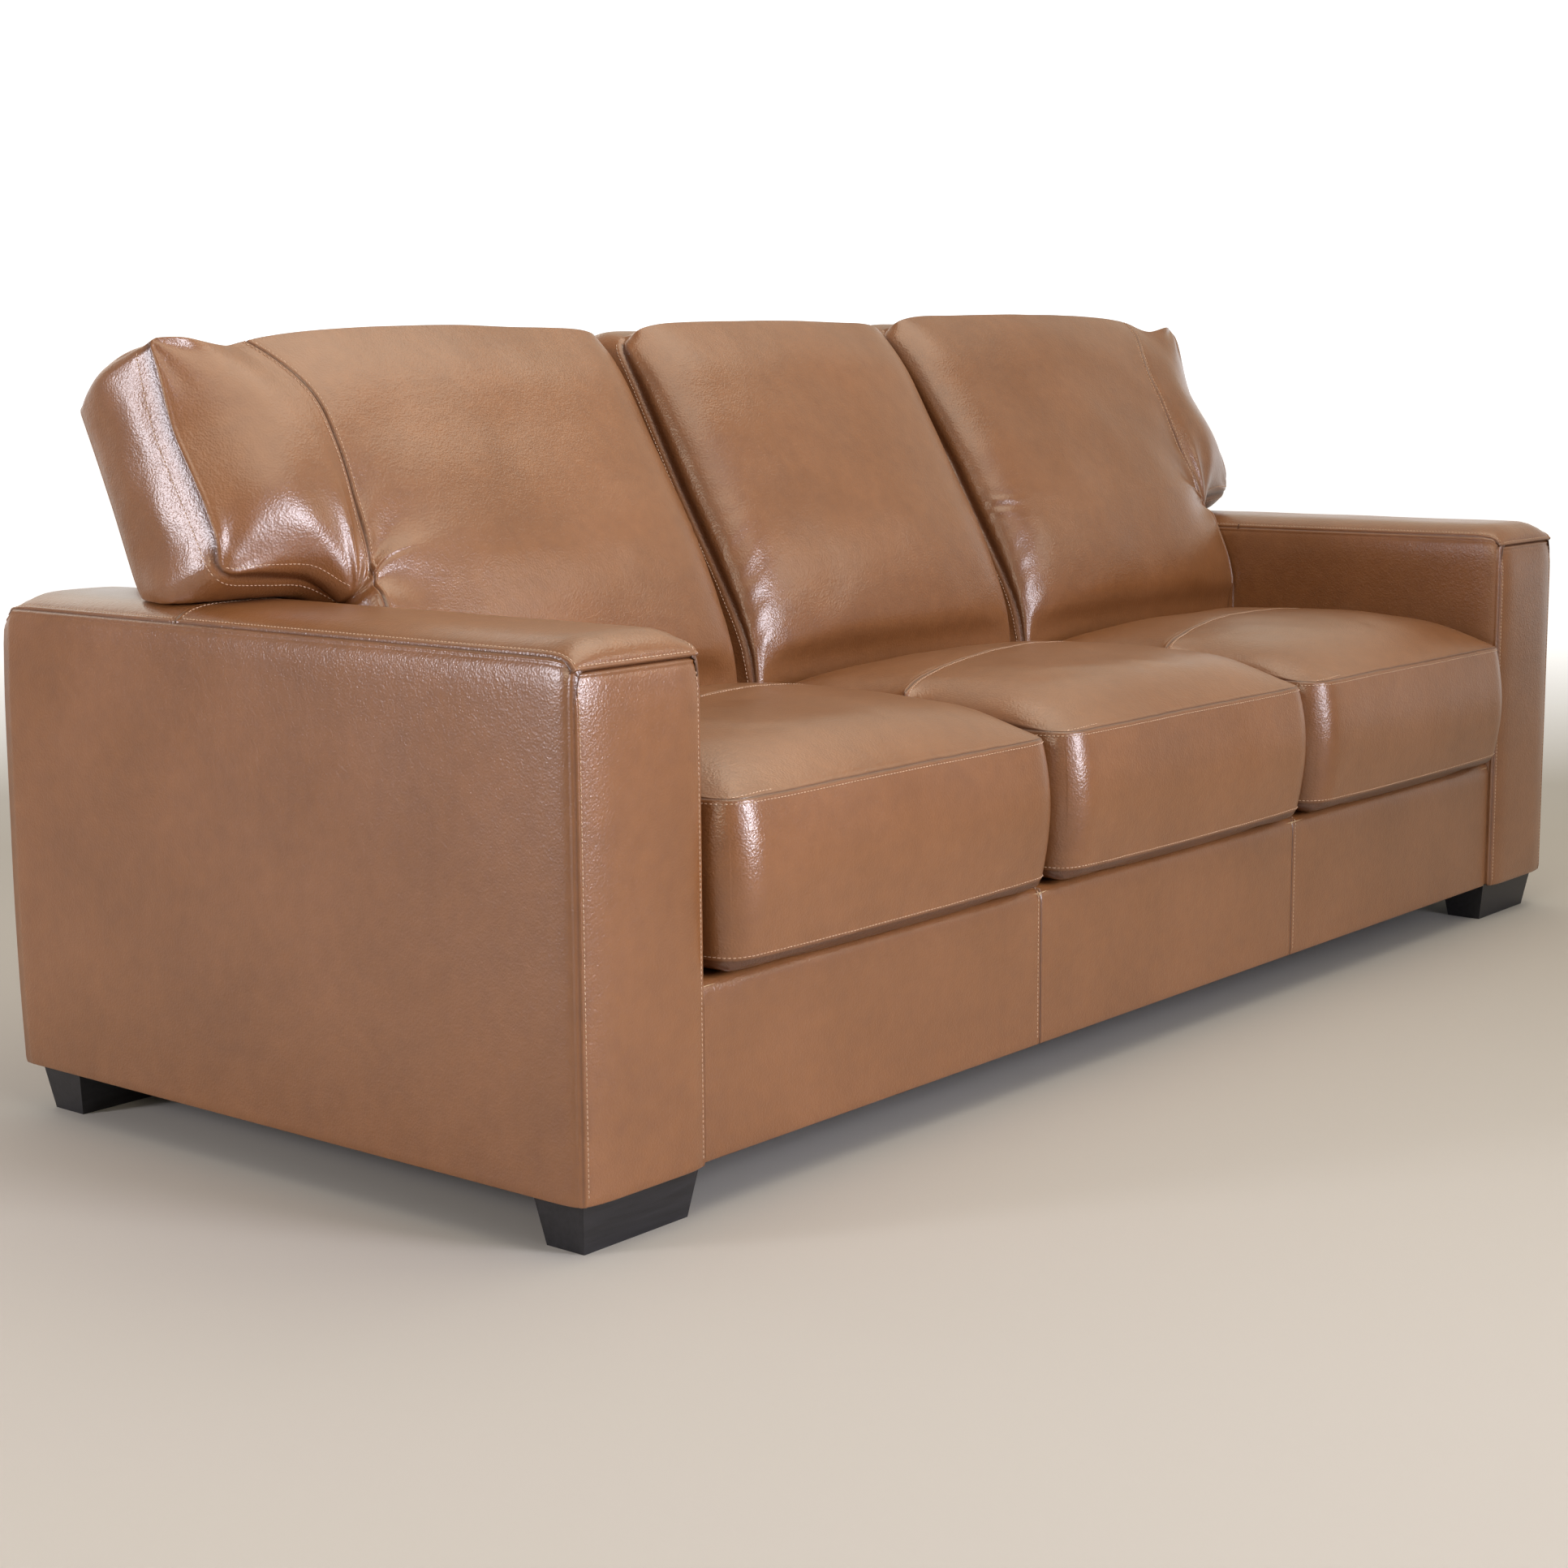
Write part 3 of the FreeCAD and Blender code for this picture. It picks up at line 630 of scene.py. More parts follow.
def build_base_front():
    path = Path([(BASE_FRONT, UNDER), (BASE_FRONT, DECK), (LIP_REAR, DECK)], 0.009)
    edges = (-INNER, -GAP_X, GAP_X, INNER)
    lines = []
    for i, name in enumerate(SIDES):
        sides = [(0, 0, name != "left"), (0, 0, name != "right"), FOLDED, PLAIN]
        panel = Panel(
            f"base_front_{name}", spaced(edges[i], edges[i + 1], 0.02), spaced(0, path.length, 0.014),
            swept_base(path, -1), sides, puff=0.002, seed=20 + i, depth=0.35,
        )
        upholster(panel.build(), [f"base_front_{name}_panel"])
        if name != "middle":
            lines.append(panel.row(1 if name == "left" else 0))
    stitches("base_front_stitching", lines, ROOT)


build_base_front()

# the line of the back's frame under the leather: its depth where it starts, the height there and its slope
FRAME_Y, FRAME_Z, FRAME_SLOPE = 0.112, 0.256, 0.42


def frame_line(z):
    return FRAME_Y + (z - FRAME_Z) * FRAME_SLOPE


def build_outside_back():
    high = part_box("outside_back_panel")[1]
    path = Path([(high.y, UNDER), (high.y, high.z), (0.360, high.z)], 0.005)
    x = [-INNER + 0.002, -GAP_X, GAP_X, INNER - 0.002]
    plain = swept_base(path, 1)

    def seamed(a, b):
        p, n = plain(a, b)
        to_seam = np.minimum(np.abs(a - x[1]), np.abs(a - x[2]))
        return p + n * 0.6 * seam_shape(to_seam)[..., None], n

    panel = Panel(
        "outside_back", spaced(x[0], x[3], 0.024, marks=x[1:3]), spaced(0, path.length, 0.02), seamed,
        [(0.0012, 0.012, True), (0.0012, 0.012, True), FOLDED, PLAIN], puff=0.002, seed=31,
    )
    upholster(panel.build(), ["outside_back_panel"])
    b = np.linspace(0.01, path.length - 0.01, 300)
    lines = [panel.surface(np.full_like(b, at), b)[:2] for at in (x[1] - STITCH_INSET, x[2] + STITCH_INSET)]
    stitches("outside_back_stitching", [*lines, panel.row(0), panel.row(1)], ROOT)
    # the folded ends above the arms
    foot, top = ARM_SEAM - 0.03, high.z - 0.003
    for side, sign in (("left", -1), ("right", 1)):

        def end_base(a, b, sign=sign):
            z = foot + (top - foot) * b
            front = frame_line(z) + 0.007
            y = front + (high.y - 0.003 - front) * a
            return stack(np.full_like(y, sign * (INNER - 0.0005)), y, z), facing(a, (sign, 0, 0))

        grid = np.linspace(0, 1, 24), np.linspace(0, 1, 30)
        end = Panel(f"{side}_back_end", *grid, end_base, [PLAIN] * 4, rough=0.0006, seed=35)
        upholster(end.build(), [])


build_outside_back()

# ---------------------------------------------------------------- stretched cloths


def cloth_sheet(name, cad, low, high, inset, height, body):
    """A thin cloth stretched flat. height(x, y) is its underside."""
    x, y = np.linspace(low.x + inset, high.x - inset, 90), np.linspace(low.y + inset, high.y - inset, 50)
    x, y = np.meshgrid(x, y, indexing="ij")
    z = height(x, y)
    obj = slab(name, stack(x, y, z + 0.0006), stack(x, y, z))
    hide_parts(cad)
    return dress(obj, LINING, body)


def quarter(distance, run):
    """0 to 1 up a quarter of a circle."""
    return np.sqrt(unit(1 - (1 - unit(distance / run)) ** 2))


def build_cloths():
    low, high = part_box("seat_deck_cloth")

    def deck(x, y):
        slack = np.sin(np.pi * unit((y - low.y) / (high.y - low.y))) * (0.5 + 0.5 * np.cos(2 * np.pi * x / 0.11))
        return high.z - 0.0007 - 0.0005 * slack

    cloth_sheet("deck_cloth", "seat_deck_cloth", low, high, 0, deck, ROOT)
    low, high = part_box("dust_cover")

    def dust(x, y):
        edge = np.minimum(high.x - np.abs(x), np.minimum(y - low.y, high.y - y))
        return UNDER + 0.0004 + 0.0002 * bell(edge, 0.03) * np.cos(2 * np.pi * (x + y) / 0.05)

    cloth_sheet("under_cloth", "dust_cover", low, high, 0.003, dust, ROOT)
    for side in SIDES:
        low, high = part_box(f"{side}_seat_underside")

        def under(x, y, low=low, high=high):
            edge = np.minimum(np.minimum(x - low.x, high.x - x), np.minimum(y - low.y, high.y - y))
            return low.z + 0.0001 + 0.0148 * (1 - quarter(edge, 0.042))

        cloth_sheet(
            f"{side}_seat_cloth", f"{side}_seat_underside", low, high, 0.022, under,
            f"{side}_seat_cushion",
        )


build_cloths()

# ---------------------------------------------------------------- stuffed cushions


class Pillow:
    """A closed boxed cushion. A region of grid cells makes its face and its reverse, and a boxing strip joins them
    all round. Layer 0 is the face, the last layer the reverse."""

    def __init__(self, us, vs, cells, layers):
        self.us, self.vs, self.layers = us, vs, layers
        self.keys, self.index, self.faces = [], {}, []
        nu, nv, last = len(us) - 1, len(vs) - 1, len(layers) - 1

        def vert(*key):
            if key not in self.index:
                self.index[key] = len(self.keys)
                self.keys.append(key)
            return self.index[key]

        def filled(i, j):
            return 0 <= i < nu and 0 <= j < nv and cells[i][j]

        rim = {}
        for i in range(nu):
            for j in range(nv):
                if not cells[i][j]:
                    continue
                corners = [(i, j), (i + 1, j), (i + 1, j + 1), (i, j + 1)]
                beyond = [(i, j - 1), (i + 1, j), (i, j + 1), (i - 1, j)]
                self.faces.append(tuple(vert(*spot, 0) for spot in corners))
                self.faces.append(tuple(vert(*spot, last) for spot in reversed(corners)))
                for one, two, cell in zip(corners, corners[1:] + corners[:1], beyond):
                    if not filled(*cell):
                        rim[one] = two
                        for k in range(last):
                            self.faces.append((vert(*one, k), vert(*one, k + 1), vert(*two, k + 1), vert(*two, k)))
        self.loop = [min(rim)]
        while rim[self.loop[-1]] != self.loop[0]:
            self.loop.append(rim[self.loop[-1]])
        self.i, self.j, self.k = np.array(self.keys).T
        self.u, self.v, self.w = us[self.i], vs[self.j], layers[self.k]
        self.on_rim = np.array([(i, j) in rim for i, j, _ in self.keys])

    def along_rim(self, u, v):
        """Plan positions of the rim points, how far along the rim each is, and the rim's length."""
        spots = np.array([[u[self.index[(i, j, 0)]], v[self.index[(i, j, 0)]]] for i, j in self.loop])
        steps = np.linalg.norm(np.roll(spots, -1, 0) - spots, axis=1)
        return spots, np.concatenate([[0], np.cumsum(steps[:-1])]), steps.sum()

    def outward(self, u, v, reach=0.012):
        """For each rim point, which way is out of the region."""
        spots, at, total = self.along_rim(u, v)
        longer = np.concatenate([at - total, at, at + total])
        tiled = np.concatenate([spots, spots, spots])
        ahead, behind = (
            np.stack([np.interp(at + d, longer, tiled[:, k]) for k in (0, 1)], -1) for d in (reach, -reach)
        )
        along = ahead - behind
        along /= np.linalg.norm(along, axis=1, keepdims=True) + 1e-9
        return {key: np.array([along[n, 1], -along[n, 0]]) for n, key in enumerate(self.loop)}

    def even_out(self, values, u, v, reach):
        """Values at the rim points, averaged with their neighbours' along the rim."""
        _, at, total = self.along_rim(u, v)
        apart = np.abs(at[:, None] - at[None, :])
        apart = np.minimum(apart, total - apart)
        share = (np.roll(at, -1) - np.roll(at, 1)) % total / 2
        weight = bell(apart, reach) * share[None, :]
        return (weight * values[None, :]).sum(1) / weight.sum(1)

    def swell(self, reach, held):
        """A smooth field on the face grid: 0 on the rim, near 1 further in than reach. held(u, v) fixes more points
        by giving a value, or None."""
        nu, nv = len(self.us), len(self.vs)
        inside, fixed = np.zeros((2, nu, nv), bool)
        value, east, west, north, south = np.zeros((5, nu, nv))
        inside[self.i, self.j] = True
        for i, j in self.loop:
            fixed[i, j] = held(self.us[i], self.vs[j], True) is None
        for i, j in zip(*np.nonzero(inside & ~fixed)):
            given = held(self.us[i], self.vs[j], False)
            if given is not None:
                fixed[i, j], value[i, j] = True, given
        du, dv = np.diff(self.us), np.diff(self.vs)
        mid_u, mid_v = np.convolve(du, (0.5, 0.5)), np.convolve(dv, (0.5, 0.5))
        pairs_u, pairs_v = inside[:-1] & inside[1:], inside[:, :-1] & inside[:, 1:]
        east[:-1] = pairs_u / (du * mid_u[:-1])[:, None]
        west[1:] = pairs_u / (du * mid_u[1:])[:, None]
        north[:, :-1] = pairs_v / (dv * mid_v[:-1])
        south[:, 1:] = pairs_v / (dv * mid_v[1:])
        h = np.where(inside & ~fixed, 1.0, value)
        k2 = 1 / reach ** 2
        total = east + west + north + south + k2
        red = (np.add.outer(np.arange(nu), np.arange(nv)) % 2).astype(bool)
        for step in range(900):
            for colour in (red, ~red):
                near = k2 * np.ones((nu, nv))
                near[:-1] += east[:-1] * h[1:]
                near[1:] += west[1:] * h[:-1]
                near[:, :-1] += north[:, :-1] * h[:, 1:]
                near[:, 1:] += south[:, 1:] * h[:, :-1]
                target = near / total
                change = colour & inside & ~fixed
                h[change] += 1.7 * (target[change] - h[change])
        return unit(h)


def roll(h):
    """A swelling that leaves its seam at a right angle."""
    return np.sqrt(unit(1 - (1 - h) ** 2))


def corner_round(p, q, a, b, radius):
    """Moves points near the corner (a, b) of a box, which lies at its high ends, onto a rounded corner."""
    x = p - (a - radius)
    y = q - (b - radius)
    near = (x > 0) & (y > 0)
    xs, ys = np.where(near, x, 0) / radius, np.where(near, y, 0) / radius
    nx = xs * np.sqrt(unit(1 - ys ** 2 / 2)) * radius
    ny = ys * np.sqrt(unit(1 - xs ** 2 / 2)) * radius
    return np.where(near, a - radius + nx, p), np.where(near, b - radius + ny, q)


CUSHIONS = []
CLOTH_SETTINGS = {
    "quality": 5, "mass": 0.6, "tension_stiffness": 25, "compression_stiffness": 25, "shear_stiffness": 12,
    "bending_stiffness": 1.2, "tension_damping": 8, "compression_damping": 8, "air_damping": 3, "use_pressure": True,
    "uniform_pressure_force": 3.0, "vertex_group_mass": "pin", "pin_stiffness": 1, "vertex_group_shrink": "seam",
    "shrink_min": 0.0, "shrink_max": 0.10,
}
CLOTH_FRAMES = 14


def soft_object(name, pillow, points, seam, **item):
    obj = new_mesh(name, points, pillow.faces, seam)
    bpy.context.view_layer.update()
    CUSHIONS.append({"obj": obj, "rest": points.copy(), "pillow": pillow, **item})
    return obj


def simulate():
    """Blows every cushion up a little as cloth, and keeps a limited share of how far each point moved."""
    for item in CUSHIONS:
        obj = item["obj"]
        for name, weights, least in (("pin", item["pins"], 0), ("seam", item["shrink"], 0.01)):
            group = obj.vertex_groups.new(name=name)
            for n, weight in enumerate(weights):
                if weight > least:
                    group.add([n], float(weight), "REPLACE")
        cloth = obj.modifiers.new("cloth", "CLOTH")
        for key, value in CLOTH_SETTINGS.items():
            setattr(cloth.settings, key, value)
        cloth.settings.effector_weights.gravity = 0
        cloth.collision_settings.use_collision = False
        cloth.point_cache.frame_start, cloth.point_cache.frame_end = 1, CLOTH_FRAMES
    scene.frame_start, scene.frame_end = 1, CLOTH_FRAMES
    for frame_number in range(1, CLOTH_FRAMES + 1):
        scene.frame_set(frame_number)
    graph = bpy.context.evaluated_depsgraph_get()
    for item in CUSHIONS:
        obj, cap = item["obj"], item["cap"]
        shift = read(obj.evaluated_get(graph).to_mesh(), "co") - item["rest"]
        length = np.linalg.norm(shift, axis=1, keepdims=True)
        kept = cap * np.tanh(length / cap) / np.maximum(length, 1e-9)
        obj.modifiers.clear()
        obj.vertex_groups.clear()
        item["rest"] = item["rest"] + shift * (kept * (0.22 + 0.6 * item["near"][:, None]))
    scene.frame_set(1)


def read(mesh, what):
    """The places or normals of a mesh's vertices."""
    values = np.empty(len(mesh.vertices) * 3)
    mesh.vertices.foreach_get(what, values)
    return values.reshape(-1, 3)


def finish_cushions():
    """Writes the final places of each cushion's points and adds a subdivision."""
    for item in CUSHIONS:
        obj = item["obj"]
        points = item["limit"](item["rest"].copy())
        obj.data.vertices.foreach_set("co", points.astype(np.float32).ravel())
        obj.data.update()
        with bpy.context.temp_override(object=obj, active_object=obj, selected_objects=[obj]):
            m = obj.modifiers.new("smooth", "SUBSURF")
            m.levels = m.render_levels = 1
            bpy.ops.object.modifier_apply(modifier=m.name)
        item["co"], item["no"] = read(obj.data, "co"), read(obj.data, "normal")
        obj.data.polygons.foreach_set("use_smooth", [True] * len(obj.data.polygons))


# ---- seat cushions

SEAT_SEAM = 0.440
SEAT_FOOT = 0.2680
SEAT_CROSS = -0.165
SEAT_INSET = 0.007


def build_seat(side, seed):
    low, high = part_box(f"{side}_seat_cover")
    x0, x1 = low.x + SEAT_INSET, high.x - SEAT_INSET
    y0, y1 = -0.4655, high.y - 0.002
    us = spaced(x0, x1, 0.0115)
    vs = spaced(y0, y1, 0.0115, marks=(SEAT_CROSS,))
    layers = [0, 0.008, 0.018, 0.032, 0.05, 0.08, 0.14, 0.22, 0.32, 0.42, 0.52, 0.62, 0.72, 0.81, 0.88]
    layers = np.array([*layers, 0.93, 0.955, 0.972, 0.988, 1.0])
    pillow = Pillow(us, vs, [[True] * (len(vs) - 1) for _ in range(len(us) - 1)], layers)
    gu, gv, w = pillow.u, pillow.v, pillow.w
    u, v = gu, gv
    cx = (x0 + x1) / 2

    def held(a, b, rim):
        return 0.86 if not rim and abs(b - SEAT_CROSS) < 1e-5 else None

    flat = pillow.swell(0.050, held)[pillow.i, pillow.j]
    near_front = 1 - fade(gv - y0, 0.02, 0.12)
    h = flat * near_front + roll(flat) * (1 - near_front)
    # rounded corners in plan
    half = (x1 - x0) / 2
    for sx in (-1, 1):
        pu = (u - cx) * sx
        pu, front_v = corner_round(pu, -v, half, -y0, 0.044)
        pu, v = corner_round(pu, -front_v, half, y1, 0.022)
        u = cx + sx * pu
    out = pillow.outward(u, v)
    xi = (u - cx) / half
    yi = unit((v - y0) / (y1 - y0))
    dome = (1 - np.abs(xi) ** 2.4) * np.sin(np.pi * unit(0.12 + 0.83 * yi)) ** 0.8
    z_top = SEAT_SEAM + 0.006 * yi + 0.031 * h + 0.020 * dome * unit(flat * 1.3)
    top = pillow.k == 0
    bottom = pillow.k == len(layers) - 1
    edge = np.abs([gu - x0, x1 - gu, gv - y0, y1 - gv]).min(0)
    z_low = SEAT_FOOT - 0.0163 * quarter(edge, 0.042)
    z = np.where(top, z_top, np.where(bottom, z_low, SEAT_SEAM + (SEAT_FOOT - SEAT_SEAM) * w))
    points = stack(u, v, z)
    strip = (SEAT_SEAM - SEAT_FOOT) * np.minimum(w, 1 - w)
    for n in np.nonzero(pillow.on_rim)[0]:
        i, j, _ = pillow.keys[n]
        o = out[(i, j)]
        front = max(0.0, -o[1])
        bulge = (0.0115 * front + (SEAT_INSET + 0.0015) * (1 - front)) * math.sin(math.pi * w[n] ** 0.92)
        groove = 0.0014 * bell(strip[n], 0.0018)
        ridge = 0.0006 * (bell(strip[n] - 0.0036, 0.002) - bell(strip[n] - 0.0065, 0.0016))
        points[n, :2] += o * (bulge - groove + ridge)
        points[n, 1] -= 0.003 * front * w[n]
    # seam shape across the top, and along its edge
    from_cross = np.abs(gv - SEAT_CROSS)
    along_edge = np.where(pillow.on_rim, 0, seam_shape(edge + 0.0012) * 0.3)
    points[:, 2] += np.where(top, seam_shape(from_cross) * 0.8 + along_edge, 0)
    # the seam across the top bends forward at its ends
    bend = 0.030 * xi - 0.022 * xi ** 2
    points[:, 1] += np.where(top, bend * bell(from_cross, 0.10), 0)
    wob = noise_at(points, 0.16, seed)
    fine = noise_at(points, 0.055, seed + 3)
    points[:, 2] += np.where(top, (0.0030 * wob + 0.0009 * fine) * h, 0)
    front_face = (~top & ~bottom) & (pillow.j == 0)
    points[:, 1] += np.where(front_face, 0.0022 * wob * np.sin(np.pi * w), 0)
    # the seam mask, darkened as painted shade: along the seams, and over the whole bottom of the cushion
    seam = np.where(top, np.maximum(bell(edge, 0.0016), bell(from_cross, 0.0014)), bell(strip, 0.0016))
    pins = np.where(bottom & (edge > 0.03), 1.0, 0.0)
    shrink = np.where(top, np.exp(-edge / 0.006), np.exp(-strip / 0.006))
    shrink = np.maximum(shrink, np.where(top, 0.25 * np.exp(-from_cross / 0.005), 0))
    near = np.where(top, bell(edge, 0.035), 0.6)

    def limit(p):
        p[:, 0] = np.clip(p[:, 0], low.x - 0.0026, high.x + 0.0026)
        p[:, 1] = np.minimum(p[:, 1], high.y + 0.002)
        p[:, 2] = np.maximum(p[:, 2], low.z + 0.0006)
        return p

    obj = soft_object(
        f"{side}_seat_leather", pillow, points, seam, pins=pins, shrink=shrink, near=near, cap=0.008, limit=limit,
        stitch=lambda item: seat_stitching(side, item),
    )
    upholster(obj, [f"{side}_seat_cover", f"{side}_seat_foam"], f"{side}_seat_cushion")


for number, place in enumerate(SIDES):
    build_seat(place, 40 + number)

# ---- back cushions

BACK_FOOT = 0.262
BACK_LEAN = 0.62
SEAT_LEVEL = 0.505
BACK_HEADS = {"left": 0.892, "middle": 0.898, "right": 0.909}
WING_FOOT = 0.649
WING_SEAM = 0.894
WING_END = 1.084
SIDE_INSET = 0.012


def back_front_y(v):
    d = v - SEAT_LEVEL
    return 0.016 + BACK_LEAN * (d + np.sqrt(d ** 2 + 0.045 ** 2)) / 2


def back_rear(v):
    """The point of the reverse side, y and z, behind a point of the front seam."""
    z = v - 0.045 * fade(v, BACK_FOOT, SEAT_LEVEL)
    return frame_line(z), z


def build_back(side, seed):
    low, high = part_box(f"{side}_back_cover")
    head = BACK_HEADS[side]
    wing = side != "middle"
    # u is measured as if on the left: the wing end is at the low end
    if wing:
        x0, x1, arm = -WING_END, -GAP_X - 0.003 - SIDE_INSET, -INNER + 0.010
    else:
        x0, x1, arm = low.x + SIDE_INSET, high.x - SIDE_INSET, None
    us = spaced(x0, x1, 0.0125, marks=(arm, -WING_SEAM) if wing else ())
    vs = spaced(BACK_FOOT, head, 0.0125, marks=(WING_FOOT,) if wing else ())

    # the wing has nothing under it
    cells = [[not (wing and a < arm - 1e-6 and b < WING_FOOT - 1e-6) for b in vs[:-1]] for a in us[:-1]]
    layers = np.array([0, 0.03, 0.06, 0.10, 0.16, 0.24, 0.34, 0.45, 0.56, 0.67, 0.78, 0.87, 0.93, 0.97, 1.0])
    pillow = Pillow(us, vs, cells, layers)
    gu, gv, w = pillow.u, pillow.v, pillow.w
    u, v = gu, gv
    last = len(layers) - 1

    def held(a, b, rim):
        if rim:
            at_top = b > head - 1e-5 and (wing or a > x0 + 0.02) and a < x1 - 0.02
            at_end = wing and a < x0 + 1e-5 and b > WING_FOOT + 0.02
            return 1 if at_top or at_end else None
        return 0.80 if wing and abs(a + WING_SEAM) < 1e-5 else None

    flat = pillow.swell(0.068, held)[pillow.i, pillow.j]
    # the face stays flat up to the wing's end seam, and rolls over at every other one
    from_end = unit((gu - x0) / 0.17) if wing else 1 + 0 * gu
    h = roll(flat) * (1 - 0.72 * (1 - from_end) ** 2)
    # rounded corners of the outline
    u, v = corner_round(u, v, x1, head, 0.024)
    mirrored_u, v = corner_round(-u, v, -x0, head, 0.012 if wing else 0.024)
    if wing:
        mirrored_u, lowered_v = corner_round(mirrored_u, -v, -x0, -WING_FOOT, 0.022)
        v = -lowered_v
    u = -mirrored_u
    # the face
    yf = back_front_y(v)
    if wing:
        out_by = fade(-u, WING_SEAM + 0.01, WING_END - 0.02)
        yf = yf + 0.010 * (1 - from_end) - out_by * 0.028 * unit((v - 0.79) / 0.10) ** 1.5
    if side == "right":
        yf = yf + 0.03 * unit((v - 0.72) / 0.19) * fade(u, -0.70, -0.35)
    yr, zr = back_rear(v)
    if wing:
        zr = zr - out_by * 0.008 * unit((v - 0.76) / 0.13)
    lean = math.atan(BACK_LEAN)
    n_front = np.array([0, -math.cos(lean), math.sin(lean)])
    crown = 0.050 * (0.25 + 0.75 * fade(v, 0.40, 0.66)) * h
    if wing:
        # the wing bellies out low down, just over its bottom seam
        crown = crown + 0.016 * h * out_by * bell(v - WING_FOOT - 0.065, 0.05)
        crown = crown + 0.010 * h * fade(-u, WING_SEAM, WING_SEAM + 0.09)
    middle = -0.60 if wing else (x0 + x1) / 2
    belly = 0.010 * unit(1 - ((u - middle) / 0.33) ** 2) * fade(v, 0.40, 0.66) * fade(head - v, 0.0, 0.2) * h
    # both sides of the boxing start at the seams themselves
    seam_front, seam_rear = stack(u, yf, v), stack(u, yr, zr)
    strip = seam_front * (1 - w)[:, None] + seam_rear * w[:, None]
    front = seam_front + n_front * (crown + belly)[:, None]
    rear_h = h * np.maximum(fade(v, 0.80, 0.86), fade(-u, INNER, INNER + 0.05) if wing else 0)
    rear = seam_rear + np.array([0, 0.9, -0.35]) * (0.016 * rear_h)[:, None]
    points = np.where((pillow.k == 0)[:, None], front, np.where((pillow.k == last)[:, None], rear, strip))
    out = pillow.outward(u, v)

    def fullness(a, b):
        """How far the boxing strip bulges beside a point of the rim."""
        if b > head - 1e-5:
            return 0.030 if not wing or a > x0 + 0.13 else 0.010 + 0.15 * max(a - x0, 0)
        if wing and a < x0 + 1e-5:
            return 0.014
        if wing and a < arm - 1e-5 and b < WING_FOOT + 1e-5:
            return 0.030
        if b < BACK_FOOT + 1e-5:
            return 0.003
        return 0.008 if wing and a < arm + 1e-5 else SIDE_INSET + 0.002

    sizes = np.array([fullness(us[i], vs[j]) for i, j in pillow.loop])
    amount = dict(zip(pillow.loop, pillow.even_out(sizes, u, v, 0.025)))
    strip_d = 0.12 * np.minimum(w, 1 - w)
    for n in np.nonzero(pillow.on_rim)[0]:
        i, j, _ = pillow.keys[n]
        o = out[(i, j)]
        direction = np.array([o[0], max(o[1], 0) * 0.42 - max(-o[1], 0) * 0.1, o[1]])
        groove = 0.0015 * bell(strip_d[n], 0.002) if vs[j] < head - 1e-5 else 0
        points[n] += direction * (amount[(i, j)] * math.sin(math.pi * w[n]) ** 0.8 - groove)
    face = pillow.k == 0
    if wing:
        points[:, 2] += 0.014 * bell(gu - x0, 0.07) * unit((gv - 0.80) / 0.09) * (1 - w)
        points[:, 2] -= 0.016 * bell(gu - x0 - 0.125, 0.09) * unit((gv - 0.79) / 0.10)
        rise, run = (0.010, 0.38) if side == "left" else (0.014, 0.2)
        points[:, 2] += rise * unit((gv - 0.70) / 0.19) * fade(gu, x0 + 0.09, x0 + run)
        lumps = noise_at(points, 0.062, seed + 7) + 0.4 * noise_at(points, 0.028, seed + 8)
        on_end = pillow.on_rim & (pillow.i == 0)
        points[:, 0] -= np.where(on_end, 0.0042 * lumps * np.sin(np.pi * w), 0)
    else:
        points[:, 2] += 0.013 * unit((gv - 0.70) / 0.19)
    # rounded over the top, where there is no seam
    droop = unit(1 - (head - gv) / 0.075) ** 2 * h
    points += np.where(face, droop, 0)[:, None] * np.array([0, 0.020, -0.004])
    edge = np.abs([gu - x0, x1 - gu]).min(0)
    if wing:
        edge = np.where(gv < WING_FOOT - 1e-6, np.abs([gu - arm, x1 - gu]).min(0), edge)
        under = np.where(gu < arm, np.abs(gv - WING_FOOT), 1.0)
        by_pinch = (gu >= arm) & (gu < arm + 0.02) & (np.abs(gv - WING_FOOT) < 0.02)
        under = np.where(by_pinch, np.hypot(gu - arm, gv - WING_FOOT), under)
        edge = np.minimum(edge, under)
    lift = seam_shape(edge) * 0.5
    if wing:
        lift = lift + seam_shape(np.abs(gu + WING_SEAM)) * 1.1
    points += np.where(face, lift, 0)[:, None] * n_front
    # gathers that run in from the seams, and slow unevenness
    wob = noise_at(points, 0.17, seed)
    fine = noise_at(points, 0.06, seed + 2)
    d = np.abs(gu - (x0 if side == "middle" else x1))
    strength = {"left": 0.3, "middle": 1.0, "right": 0.8}[side]
    wave = np.sin(2 * np.pi * (gv / 0.0205 + 0.35 * fine + 0.5 * d / 0.03))
    ripple = strength * 0.0026 * wave * bell(d - 0.022, 0.024) * fade(gv, 0.46, 0.52) * (1 - fade(gv, 0.60, 0.74))
    points += np.where(face, (0.0042 * wob + 0.0011 * fine) * h + ripple, 0)[:, None] * n_front
    if wing:
        # creases that fan out of the pinch where the wing meets the arm
        px, pz = arm, WING_FOOT
        r = np.hypot(gu - px, gv - pz)
        angle = np.arctan2(gv - pz, gu - px)
        fan = np.cos(angle * 7 + 0.6) * bell(r - 0.05, 0.045) * 0.0026
        pinch = -0.008 * bell(r, 0.03) - 0.017 * bell(r, 0.085) * fade(gu, arm - 0.02, arm + 0.05)
        points += np.where(face, fan + pinch, 0)[:, None] * n_front
        # creases at the wing's two front corners
        for cz in (WING_FOOT, head):
            r = np.hypot(gu - x0, gv - cz)
            angle = np.arctan2(np.abs(gv - cz), gu - x0)
            fan = np.cos(angle * 9) * bell(r - 0.04, 0.022) * 0.0026
            points += np.where(face, fan, 0)[:, None] * n_front
